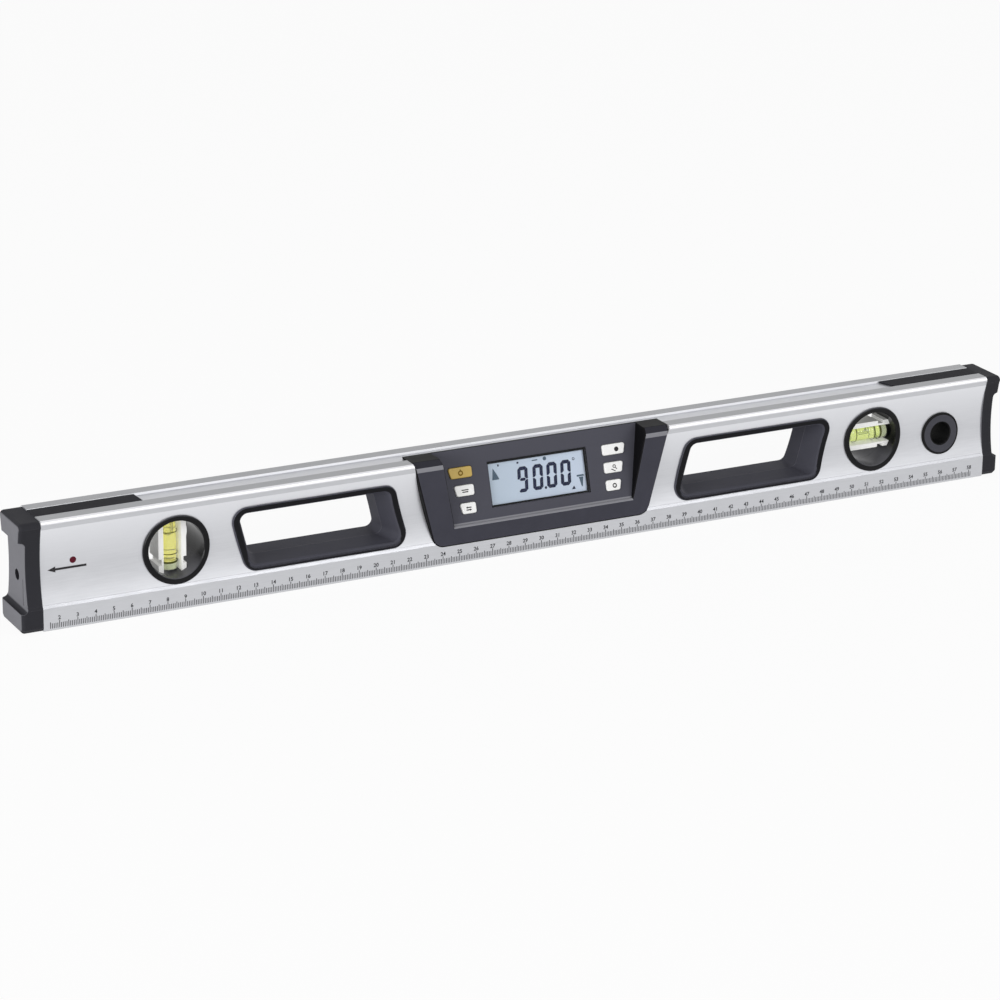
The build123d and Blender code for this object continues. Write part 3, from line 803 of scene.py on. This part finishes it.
def finishAluminium(look):
    tree = bpy.data.materials["satinAluminium"].node_tree
    up = placeAlong(tree, "Z")
    # painted light: the webs paler toward the top
    rise = ramp(tree, up, look["paleFrom"], look["paleFull"])
    tintWhere(tree, both(tree, rise, below(tree, up, look["paleEnd"])), look["paintedLight"])
    # painted shade on the step over the scale
    tintWhere(tree, between(tree, up, look["stepFrom"], look["stepTo"]), look["step"])
    # painted highlights on the ridges beside the top
    depth = reckon(tree, "ABSOLUTE", placeAlong(tree, "Y"))
    outer = above(tree, depth, look["ridgeBeyond"])
    level = between(tree, up, look["ridgeFrom"], look["ridgeTo"])
    tintWhere(tree, both(tree, level, outer), look["paintedRidgeHighlight"])
    # painted shade on the flat top and bottom faces
    high = above(tree, up, look["flatShadeAbove"])
    low = below(tree, up, look["flatShadeBelow"])
    tintWhere(tree, either(tree, high, low), look["paintedFlatShade"])


finishAluminium(aluminiumLightLook)
print("metal pieces painted")


# clear pieces

clearLooks = {
    "windowAcrylic": {
        "colour": tone(235, 240, 245),
        "spread": 0.05,
        "scale": 40.0,
        "roughness": 0.12,
        "swing": 0.2,
        "alpha": 0.014,
        "sheen": 0.06,
        "nodes": ("display_window", "aperture_window", "laser_collimator"),
    },
    "tubeAcrylic": {
        "colour": tone(238, 242, 225),
        "spread": 0.05,
        "scale": 60.0,
        "roughness": 0.08,
        "swing": 0.1,
        "alpha": 0.12,
        "sheen": 0.5,
        "nodes": ("plumb_vial_tube", "level_vial_tube"),
    },
}


def surfaceFrom(tree, socket):
    wireUp(tree, nodeOf(tree, "OUTPUT_MATERIAL"), {"Surface": socket})


# shadow rays pass through, so that what is behind a clear piece stays lit
def passShadows(tree, colour):
    shader = nodeOf(tree, "BSDF_PRINCIPLED").outputs[0]
    clear = addNode(tree, "ShaderNodeBsdfTransparent", {"Color": colour}).outputs[0]
    shadow = addNode(tree, "ShaderNodeLightPath", {}).outputs["Is Shadow Ray"]
    surfaceFrom(tree, mixShader(tree, shadow, shader, clear))


def clearMaterial(name, look):
    values = {"Alpha": look["alpha"], "Specular IOR Level": look["sheen"]}
    material = grainMaterial(name, look, values)
    passShadows(material.node_tree, white)
    return material


for clearName, clearLook in clearLooks.items():
    paint(clearMaterial(clearName, clearLook), clearLook["nodes"])
print("clear pieces painted")


# display cell: painted light makes it paler toward the right

lcdLook = {
    "colour": tone(182, 197, 213),
    "paintedLight": tone(199, 211, 230),
    "paleShare": 0.7,
    "spread": 0.1,
    "scale": 60.0,
    "roughness": 0.35,
    "swing": 0.2,
    "across": (-28 * mm, 28 * mm),
}


def lcdMaterial(look):
    material = grainMaterial("lcdFace", look, {})
    tree = material.node_tree
    share = ramp(tree, placeAlong(tree, "X"), *look["across"], 0.0, look["paleShare"])
    tintWhere(tree, share, look["paintedLight"])
    return material


paint(lcdMaterial(lcdLook), ("lcd_glass",))


# cells: a dark wrap with a copper-coloured band at one end

cellLook = {
    "colour": tone(44, 46, 52),
    "band": tone(190, 128, 70),
    "bandFrom": 12 * mm,
    "metallic": 0.4,
    "spread": 0.3,
    "scale": 150.0,
    "roughness": 0.3,
    "swing": 0.2,
}


def cellMaterial(look):
    material = grainMaterial("cellWrap", look, {"Metallic": look["metallic"]})
    tree = material.node_tree
    tintWhere(tree, above(tree, placeAlong(tree, "X"), look["bandFrom"]), look["band"])
    return material


paint(cellMaterial(cellLook), ("lower_cell", "upper_cell"))
print("display and cells painted")


# printed ink

anyInk = {"spread": 0.2, "scale": 300.0, "swing": 0.2, "sheen": 0.15}
inkLooks = {
    "scaleInk": {"colour": tone(36, 36, 40), "roughness": 0.6, "spread": 0.3},
    "redInk": {"colour": tone(84, 14, 32), "roughness": 0.55},
    "maskInk": {"colour": tone(10, 10, 12), "roughness": 0.8},
    "digitInk": {"colour": tone(2, 14, 50), "roughness": 0.5},
    "faintInk": {"colour": tone(74, 92, 108), "roughness": 0.5},
    "keyInk": {"colour": tone(46, 44, 46), "roughness": 0.55},
    "goldKeyInk": {"colour": tone(120, 92, 18), "roughness": 0.5},
    "lineInk": {"colour": tone(74, 72, 26), "roughness": 0.5},
    "seamInk": {"colour": tone(74, 76, 26), "roughness": 0.5},
}


def printedInk(name, look):
    return grainMaterial(name, look, {"Specular IOR Level": look["sheen"]})


inks = {name: printedInk(name, {**anyInk, **look}) for name, look in inkLooks.items()}


# printed shapes: each outline becomes a thin closed plate, each ring a thin band


def joinRows(bm, here, there, smooth=False):
    for step in range(len(here)):
        after = (step + 1) % len(here)
        face = bm.faces.new((here[step], here[after], there[after], there[step]))
        face.smooth = smooth


def discOutline(centre, radius, count=24):
    turns = [2 * math.pi * step / count for step in range(count)]
    return [
        (centre[0] + radius * math.cos(turn), centre[1] + radius * math.sin(turn)) for turn in turns
    ]


def barOutline(left, right, low, high):
    return [(left, low), (right, low), (right, high), (left, high)]


def plateFaces(bm, outline, place, low, high):
    base = [bm.verts.new(place(across, up, low)) for across, up in outline]
    lid = [bm.verts.new(place(across, up, high)) for across, up in outline]
    bm.faces.new(lid)
    bm.faces.new(base[::-1])
    joinRows(bm, base, lid)


def ringFaces(bm, centre, outer, inner, place, low, high, count=28):
    rows = []
    for radius, level in ((inner, low), (outer, low), (outer, high), (inner, high)):
        outline = discOutline(centre, radius, count)
        rows.append([bm.verts.new(place(across, up, level)) for across, up in outline])
    for here, there in zip(rows, rows[1:] + rows[:1]):
        joinRows(bm, here, there)


def newPiece(name, bm, material, body):
    bmesh.ops.recalc_face_normals(bm, faces=bm.faces)
    mesh = bpy.data.meshes.new(name)
    bm.to_mesh(mesh)
    bm.free()
    mesh.materials.append(material)
    piece = addToScene(name, mesh)
    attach(piece, body)
    return piece


def newPlates(name, outlines, place, low, high, ink, slot):
    bm = bmesh.new()
    for outline in outlines:
        plateFaces(bm, outline, place, low, high)
    newPiece(name, bm, inks[ink], "level")


profile = nodes["profile"]
profileTree = BVHTree.FromPolygons(
    [profile.matrix_world @ vertex.co for vertex in profile.data.vertices],
    [tuple(face.vertices) for face in profile.data.polygons],
)
rayStart = -60 * mm


# a point on the front of the aluminium, from X and Z in millimetres
def onFront(across, up, lift):
    start = Vector((across * mm, rayStart, up * mm))
    hit = profileTree.ray_cast(start, Vector((0, 1, 0)))[0]
    return hit - Vector((0, lift * mm, 0))


# scale along the lower front edge

scaleLook = {
    "firstTick": -284.5,
    "tickAtLong": 5,
    "middleEvery": 5,
    "longEvery": 10,
    "pitch": 1.0,
    "count": 567,
    "foot": 1.3,
    "shortTick": 2.8,
    "middleTick": 3.5,
    "longTick": 4.1,
    "tickWidth": 0.38,
    "inkThickness": 0.03,
    "firstNumber": 2,
    "numberStart": -279.5,
    "numberPitch": 10,
    "numberUp": 6.7,
    "numberSize": 3.0,
    "numberBold": 0.07,
    "numberCurve": 3,
    "numbers": 57,
}


def makeTickTree(look):
    tree, given, result = newGroup(
        "scaleTicks",
        "GeometryNodeTree",
        {
            "Count": "Int",
            "Shift": "Int",
            "Start": "Vector",
            "Pitch": "Float",
            "Width": "Float",
            "Thickness": "Float",
            "Short": "Float",
            "Middle": "Float",
            "Long": "Float",
            "Ink": "Material",
        },
        {"Geometry": "Geometry"},
    )
    step = addNode(tree, "ShaderNodeCombineXYZ", {"X": given["Pitch"]}).outputs[0]
    points = {"Count": given["Count"], "Start Location": given["Start"], "Offset": step}
    line = addNode(tree, "GeometryNodeMeshLine", points).outputs["Mesh"]
    index = addNode(tree, "GeometryNodeInputIndex", {}).outputs[0]
    place = reckon(tree, "ADD", index, given["Shift"])

    def longerEvery(number, usual, longer):
        rest = reckon(tree, "MODULO", place, float(number))
        wires = {0: below(tree, rest, 0.5), 2: usual, 3: longer}
        return addNode(tree, "ShaderNodeMix", wires, data_type="FLOAT").outputs[0]

    length = longerEvery(look["middleEvery"], given["Short"], given["Middle"])
    length = longerEvery(look["longEvery"], length, given["Long"])
    size = {"X": given["Width"], "Y": given["Thickness"], "Z": length}
    scale = addNode(tree, "ShaderNodeCombineXYZ", size).outputs[0]
    # a unit cube that stands on its foot, in front of its point
    cube = addNode(tree, "GeometryNodeMeshCube", {}).outputs["Mesh"]
    stand = {"Geometry": cube, "Translation": (0, -0.5, 0.5)}
    tick = addNode(tree, "GeometryNodeTransform", stand).outputs[0]
    wires = {"Points": line, "Instance": tick, "Scale": scale}
    ticks = addNode(tree, "GeometryNodeInstanceOnPoints", wires).outputs[0]
    real = addNode(tree, "GeometryNodeRealizeInstances", {"Geometry": ticks}).outputs[0]
    wires = {"Geometry": real, "Material": given["Ink"]}
    inked = addNode(tree, "GeometryNodeSetMaterial", wires).outputs[0]
    wireUp(tree, result, {"Geometry": inked})
    return tree


def settledMesh(holder):
    depsgraph = bpy.context.evaluated_depsgraph_get()
    return bpy.data.meshes.new_from_object(holder.evaluated_get(depsgraph))


def makeTicks(look):
    tree = makeTickTree(look)
    holder = addToScene("scale_ticks", bpy.data.meshes.new("tickSeed"))
    modifier = holder.modifiers.new("ticks", "NODES")
    modifier.node_group = tree
    values = {
        "Count": look["count"],
        "Shift": look["tickAtLong"],
        "Start": onFront(look["firstTick"], look["foot"], 0),
        "Pitch": look["pitch"] * mm,
        "Width": look["tickWidth"] * mm,
        "Thickness": look["inkThickness"] * mm,
        "Short": look["shortTick"] * mm,
        "Middle": look["middleTick"] * mm,
        "Long": look["longTick"] * mm,
        "Ink": inks["scaleInk"],
    }
    for item in tree.interface.items_tree:
        if item.in_out == "INPUT":
            modifier[item.identifier] = values[item.name]
    mesh = settledMesh(holder)
    holder.modifiers.clear()
    holder.data = mesh
    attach(holder, "level")


def numberMesh(number, look):
    curve = bpy.data.curves.new("numberCurve", "FONT")
    curve.body = str(number)
    curve.size = look["numberSize"] * mm
    curve.extrude = look["inkThickness"] * mm / 2
    curve.offset = look["numberBold"] * mm
    curve.resolution_u = look["numberCurve"]
    curve.align_x = "CENTER"
    curve.align_y = "CENTER"
    holder = addToScene("numberHolder", curve)
    mesh = settledMesh(holder)
    bpy.data.objects.remove(holder)
    bpy.data.curves.remove(curve)
    return mesh


def makeNumbers(look):
    bm = bmesh.new()
    upright = Matrix.Rotation(math.pi / 2, 4, "X")
    for step in range(look["numbers"]):
        mesh = numberMesh(look["firstNumber"] + step, look)
        across = look["numberStart"] + look["numberPitch"] * step
        place = onFront(across, look["numberUp"], look["inkThickness"] / 2)
        mesh.transform(Matrix.Translation(place) @ upright)
        bm.from_mesh(mesh)
        bpy.data.meshes.remove(mesh)
    newPiece("scale_numbers", bm, inks["scaleInk"], "level")


makeTicks(scaleLook)
makeNumbers(scaleLook)
print("scale printed")


# arrow and dark red dot beside the laser's end

arrowLook = {
    "tip": -283.9,
    "tail": -262.6,
    "up": 31.7,
    "headLength": 4.3,
    "headHalf": 1.6,
    "shaftHalf": 0.6,
    "dot": (-269.9, 35.5),
    "dotRadius": 1.8,
    "sink": 0.02,
    "thickness": 0.03,
}


def makeArrow(look):
    neck = look["tip"] + look["headLength"]
    up = look["up"]
    head = [(look["tip"], up), (neck, up - look["headHalf"]), (neck, up + look["headHalf"])]
    shaft = barOutline(neck, look["tail"], up - look["shaftHalf"], up + look["shaftHalf"])
    dot = discOutline(look["dot"], look["dotRadius"])
    layer = (onFront, -look["sink"], look["thickness"])
    newPlates("laser_arrow", (head, shaft), *layer, "keyInk", "anodised_aluminium")
    newPlates("laser_dot", (dot,), *layer, "redInk", "anodised_aluminium")


makeArrow(arrowLook)
print("arrow printed")


# the tilted panel: its way out comes from the keys' travel, its middle from the window

press = next(joint for joint in frame["joints"] if joint["name"] == "key_left_top_press")
panelOut = -Vector(press["axis"]).normalized()
panelAcross = Vector((1, 0, 0))
panelUp = panelOut.cross(panelAcross)
windowHalf = 0.6 * mm
panelMiddle = middleOf("display_window") + panelOut * windowHalf


def onPanel(across, up, lift):
    return panelMiddle + (panelAcross * across + panelUp * up + panelOut * lift) * mm


# reading and marks on the display cell, in millimetres from its middle

readingLook = {
    "centres": (-9.0, 0.3, 8.9, 17.5),
    "digits": ("abcdfg", "abcdef", "abcdef", "abcdef"),
    "height": 14.0,
    "width": 6.3,
    "stroke": 2.0,
    "corner": 1.5,
    "seam": 0.02,
    "gap": 0.2,
    "slant": 0.08,
    "point": (4.4, -6.4),
    "pointRadius": 0.75,
    "face": -2.05,
    "thickness": 0.03,
    "dark": (
        [(20.1, -9.6), (22.5, -9.6), (21.6, -7.7)],
        barOutline(-23.4, -22.5, 9.0, 10.1),
        barOutline(-11.6, -10.4, 8.9, 9.9),
    ),
    "faint": (
        [(-27.4, 2.0), (-23.0, 2.0), (-24.4, 5.0), (-26.4, 8.4)],
        barOutline(24.0, 28.4, -3.2, -2.2),
        [(25.2, -3.5), (28.0, -3.5), (27.0, -8.8), (26.4, -8.8)],
        discOutline((5.6, 9.5), 1.1, 14),
        barOutline(-2.2, 1.2, 9.1, 9.7),
    ),
    "degree": (23.1, 6.9),
    "degreeRadii": (0.8, 0.45),
}


# one slanted digit: bars that meet at mitred corners, with the outer corners cut
def digitOutlines(look, middle, lit):
    half = look["width"] / 2
    tall = look["height"] / 2
    stroke = look["stroke"]
    gap = look["gap"]
    seam = look["seam"]
    corner = look["corner"]
    inner = half - stroke
    mid = stroke / 2
    bevel = (half - corner / 2, tall - corner / 2)
    shapes = {
        "a": [
            (corner - half, tall),
            (half - corner, tall),
            (bevel[0] - seam, bevel[1]),
            (inner - seam, tall - stroke),
            (seam - inner, tall - stroke),
            (seam - bevel[0], bevel[1]),
        ],
        "b": [
            (half, tall - corner),
            (half, gap),
            (half - mid, gap),
            (inner, mid + gap),
            (inner, tall - stroke - seam),
            (bevel[0], bevel[1] - seam),
        ],
        "g": [
            (mid + gap - half, 0),
            (-inner, mid - gap),
            (inner, mid - gap),
            (half - mid - gap, 0),
            (inner, gap - mid),
            (-inner, gap - mid),
        ],
    }
    shapes["c"] = [(across, -up) for across, up in shapes["b"]]
    shapes["d"] = [(across, -up) for across, up in shapes["a"]]
    shapes["e"] = [(-across, -up) for across, up in shapes["b"]]
    shapes["f"] = [(-across, up) for across, up in shapes["b"]]
    lean = look["slant"]
    return [[(middle + across + lean * up, up) for across, up in shapes[part]] for part in lit]


def makeReading(look):
    layer = (onPanel, look["face"], look["face"] + look["thickness"])
    outlines = []
    for middle, lit in zip(look["centres"], look["digits"]):
        outlines += digitOutlines(look, middle, lit)
    outlines += [discOutline(look["point"], look["pointRadius"]), *look["dark"]]
    bm = bmesh.new()
    for outline in outlines:
        plateFaces(bm, outline, *layer)
    ringFaces(bm, look["degree"], *look["degreeRadii"], *layer)
    newPiece("display_reading", bm, inks["digitInk"], "level")
    newPlates("display_marks", look["faint"], *layer, "faintInk", "lcd_face")


makeReading(readingLook)
print("display reading made")


# black mask printed on the back of the window, around the display; it is also a painted shadow of
# the opening's edges, so it is narrow on the left

maskShadowLook = {
    "left": (-30.3, -29.95),
    "right": (29.1, 30.2),
    "low": (-12.4, -11.4),
    "high": (11.1, 12.4),
    "face": -1.18,
    "thickness": 0.03,
}


def makeMask(look):
    bars = (
        barOutline(look["left"][0], look["right"][1], *look["high"]),
        barOutline(look["left"][0], look["right"][1], *look["low"]),
        barOutline(*look["left"], look["low"][1], look["high"][0]),
        barOutline(*look["right"], look["low"][1], look["high"][0]),
    )
    layer = (onPanel, look["face"], look["face"] + look["thickness"])
    newPlates("window_mask_shadow", bars, *layer, "maskInk", "window_acrylic")


makeMask(maskShadowLook)
print("window mask made")


# marks on the keys, in millimetres from the middle of each key's face

keyPrint = {"face": 0.9, "sink": 0.01, "thickness": 0.02}
keyMarks = {
    "left_top": {"rings": [((0, 0), 1.5, 0.75)], "plates": [barOutline(-0.3, 0.3, 0.9, 2.0)]},
    "left_middle": {
        "rings": [],
        "plates": [barOutline(-1.9, 2.3, 0.25, 0.85), barOutline(-1.5, 2.0, -0.85, -0.25)],
    },
    "left_bottom": {
        "rings": [],
        "plates": [
            [(-1.8, 0.65), (-0.7, 1.25), (-0.7, 0.05)],
            barOutline(-0.7, 1.6, 0.35, 0.95),
            [(1.8, -0.65), (0.7, -1.25), (0.7, -0.05)],
            barOutline(-1.6, 0.7, -0.95, -0.35),
        ],
    },
    "right_top": {"rings": [], "plates": [discOutline((1.6, 0.1), 1.35)]},
    "right_middle": {
        "rings": [((0.2, 0.8), 1.0, 0.55)],
        "plates": [
            [(-1.9, -0.8), (-1.5, -0.4), (0.9, -1.7), (0.6, -2.1)],
            [(0.5, 0.2), (0.9, 0.4), (1.9, -0.8), (1.4, -1.0)],
        ],
    },
    "right_bottom": {"rings": [((0.3, 0), 1.35, 0.7)], "plates": []},
}


def makeKeyMark(key, look):
    node = "key_" + key
    offset = middleOf(node) - panelMiddle
    across = offset.dot(panelAcross) / mm
    up = offset.dot(panelUp) / mm

    def onKey(right, rise, lift):
        return onPanel(across + right, up + rise, lift)

    face = keyPrint["face"]
    layer = (onKey, face - keyPrint["sink"], face + keyPrint["thickness"])
    bm = bmesh.new()
    for centre, outer, inner in look["rings"]:
        ringFaces(bm, centre, outer, inner, *layer)
    for outline in look["plates"]:
        plateFaces(bm, outline, *layer)
    ink, slot = ("goldKeyInk", "gold_key") if key == "left_top" else ("keyInk", "white_key")
    newPiece(node + "_mark", bm, inks[ink], node)


for keyName, keyLook in keyMarks.items():
    makeKeyMark(keyName, keyLook)
print("key marks made")


# reading lines around each vial tube, and a dark seam where its plug meets the fluid

vialAlong = {"plumb": Vector((0, 0, 1)), "level": Vector((1, 0, 0))}
vialLook = {
    "lines": {"plumb": (-5.5, 6.5), "level": (-6.2, 6.2)},
    "lineWidth": 0.45,
    "seamWidth": 1.0,
    "thickness": 0.05,
    "segments": 48,
}


def makeTubeRings(name, vial, along, places, width, ink, look):
    low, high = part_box(vial + "_vial_tube")
    middle = (low + high) / 2
    first = Vector((0, 1, 0))
    second = along.cross(first)
    radius = (high.y - low.y) / 2 / mm
    outer, inner = radius + look["thickness"], radius - look["thickness"]
    bm = bmesh.new()
    for line in places:

        def aroundTube(across, up, lift):
            return middle + (along * (line + lift) + first * across + second * up) * mm

        layer = (aroundTube, -width / 2, width / 2)
        ringFaces(bm, (0, 0), outer, inner, *layer, look["segments"])
    newPiece(name, bm, inks[ink], "level")


def makeVialMarks(vial, along, look):
    name = vial + "_vial_"
    plug = middleOf(name + "plug")
    low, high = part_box(name + "plug")
    half = (high - low).dot(along) / 2
    side = 1 if (middleOf(name + "fluid") - plug).dot(along) > 0 else -1
    seam = ((plug - middleOf(name + "tube")).dot(along) + side * half) / mm
    lines = (look["lines"][vial], look["lineWidth"], "lineInk")
    makeTubeRings(name + "lines", vial, along, *lines, look)
    makeTubeRings(name + "seam", vial, along, (seam,), look["seamWidth"], "seamInk", look)


for vialName, vialAxis in vialAlong.items():
    makeVialMarks(vialName, vialAxis, vialLook)
print("vial lines made")


# fluid with a barrel-shaped side and rounded ends and a painted glow that brightens it, and the
# bubble as air inside it

# the fluids' glow is painted light
anyFluid = {"spread": 0.06, "scale": 150.0, "roughness": 0.03, "swing": 0.04}
fluidLooks = {
    "plumb": {
        "colour": tone(222, 217, 108),
        "glow": tone(184, 178, 62),
        "paintedGlowStrength": 0.15,
        "index": 1.33,
    },
    "level": {
        "colour": tone(208, 218, 128),
        "glow": tone(164, 180, 74),
        "paintedGlowStrength": 0.15,
        "index": 1.33,
    },
}
bubbleLook = {
    "colour": tone(252, 252, 236),
    "glow": tone(0, 0, 0),
    "paintedGlowStrength": 0.0,
    "index": 0.75,
}
fluidShape = {"barrel": 0.25, "endRound": 0.6, "rings": 14, "segments": 48}


def fluidMaterial(name, look):
    values = {
        "IOR": look["index"],
        "Transmission Weight": 1.0,
        "Emission Color": look["glow"],
        "Emission Strength": look["paintedGlowStrength"],
    }
    material = grainMaterial(name, {**anyFluid, **look}, values)
    passShadows(material.node_tree, look["colour"])
    return material


def makeFluid(vial, along, look, shape):
    node = vial + "_vial_fluid"
    low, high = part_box(node)
    middle = (low + high) / 2
    half = (high - low).dot(along) / 2
    radius = (high.y - low.y) / 2
    first = Vector((0, 1, 0))
    second = along.cross(first)
    bend = shape["endRound"] * mm
    outline = [(-half, radius - shape["barrel"] * mm - bend)]
    for ring in range(shape["rings"] + 1):
        share = 2 * ring / shape["rings"] - 1
        outline.append((share * (half - bend), radius - shape["barrel"] * mm * share * share))
    outline.append((half, radius - shape["barrel"] * mm - bend))
    sides = [first * x + second * y for x, y in discOutline((0, 0), 1, shape["segments"])]
    bm = bmesh.new()
    rows = []
    for reach, size in outline:
        rows.append([bm.verts.new(middle + along * reach + side * size) for side in sides])
    for here, there in zip(rows, rows[1:]):
        joinRows(bm, here, there, smooth=True)
    bm.faces.new(rows[0])
    bm.faces.new(rows[-1][::-1])
    material = fluidMaterial(vial + "Fluid", look)
    piece = newPiece(vial + "_fluid", bm, material, "level")
    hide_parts(node)


for vialName, vialAxis in vialAlong.items():
    makeFluid(vialName, vialAxis, fluidLooks[vialName], fluidShape)
paint(fluidMaterial("bubbleAir", bubbleLook), ("plumb_vial_bubble", "level_vial_bubble"))
print("fluid and bubbles made")


# floor and light

studio = {
    "floorSize": 14.0,
    "floorDrop": 0.0003,
    "floorColour": tone(244, 244, 244),
    "floorRoughness": 0.9,
    "floorGlow": 0.93,
    "worldLight": 0.4,
}


def seenRay(tree):
    path = addNode(tree, "ShaderNodeLightPath", {}).outputs
    rays = ("Is Camera Ray", "Is Glossy Ray", "Is Transmission Ray")
    return either(tree, *(path[ray] for ray in rays))


def makeWorld(look):
    world = bpy.data.worlds.new("studioWorld")
    bpy.context.scene.world = world
    world.use_nodes = True
    tree = world.node_tree
    tree.nodes.clear()
    skies = []
    for strength in (look["worldLight"], 1.0):
        sky = addNode(tree, "ShaderNodeBackground", {"Color": white, "Strength": strength})
        skies.append(sky.outputs[0])
    addNode(tree, "ShaderNodeOutputWorld", {"Surface": mixShader(tree, seenRay(tree), *skies)})


def makeFloor(look):
    bm = bmesh.new()
    bmesh.ops.create_grid(bm, x_segments=1, y_segments=1, size=look["floorSize"] / 2)
    bmesh.ops.translate(bm, verts=bm.verts, vec=(0, 0, -look["floorDrop"]))
    mesh = bpy.data.meshes.new("floor")
    bm.to_mesh(mesh)
    bm.free()
    floor = addToScene("floor", mesh)
    material, tree, shader = freshMaterial("floorPaper")
    wires = {
        "Base Color": look["floorColour"],
        "Roughness": look["floorRoughness"],
        "Specular IOR Level": 0.0,
    }
    wireUp(tree, shader, wires)
    glow = addNode(tree, "ShaderNodeEmission", {}).outputs[0]
    share = reckon(tree, "MULTIPLY", seenRay(tree), look["floorGlow"])
    surfaceFrom(tree, mixShader(tree, share, shader.outputs[0], glow))
    mesh.materials.append(material)


lamps = {
    "edgeStrip": {
        "place": (0.92, -1.51, 1.12),
        "aim": (0, 0, 0.05),
        "size": (1.6, 0.22),
        "power": 9.0,
    },
    "rightFrontBox": {
        "place": (1.0, -1.85, 0.55),
        "aim": (0, 0, 0.03),
        "size": (1.2, 0.7),
        "power": 1.6,
    },
    "leftBox": {
        "place": (-2.0, -0.65, 0.42),
        "aim": (-0.2, 0, 0.03),
        "size": (1.3, 0.9),
        "power": 26.0,
    },
    "frontBox": {
        "place": (-0.5, -2.2, 0.6),
        "aim": (0, 0, 0.03),
        "size": (1.2, 0.8),
        "power": 4.5,
    },
}


def makeLamp(name, look):
    data = bpy.data.lights.new(name, "AREA")
    data.shape = "RECTANGLE"
    data.size, data.size_y = look["size"]
    data.energy = look["power"]
    lamp = addToScene(name, data)
    lamp.location = look["place"]
    toward = Vector(look["aim"]) - Vector(look["place"])
    lamp.rotation_euler = toward.to_track_quat("-Z", "Y").to_euler()


makeWorld(studio)
makeFloor(studio)
for lampName, lampLook in lamps.items():
    makeLamp(lampName, lampLook)
bpy.context.scene.view_settings.view_transform = "Standard"
print("floor and light placed")
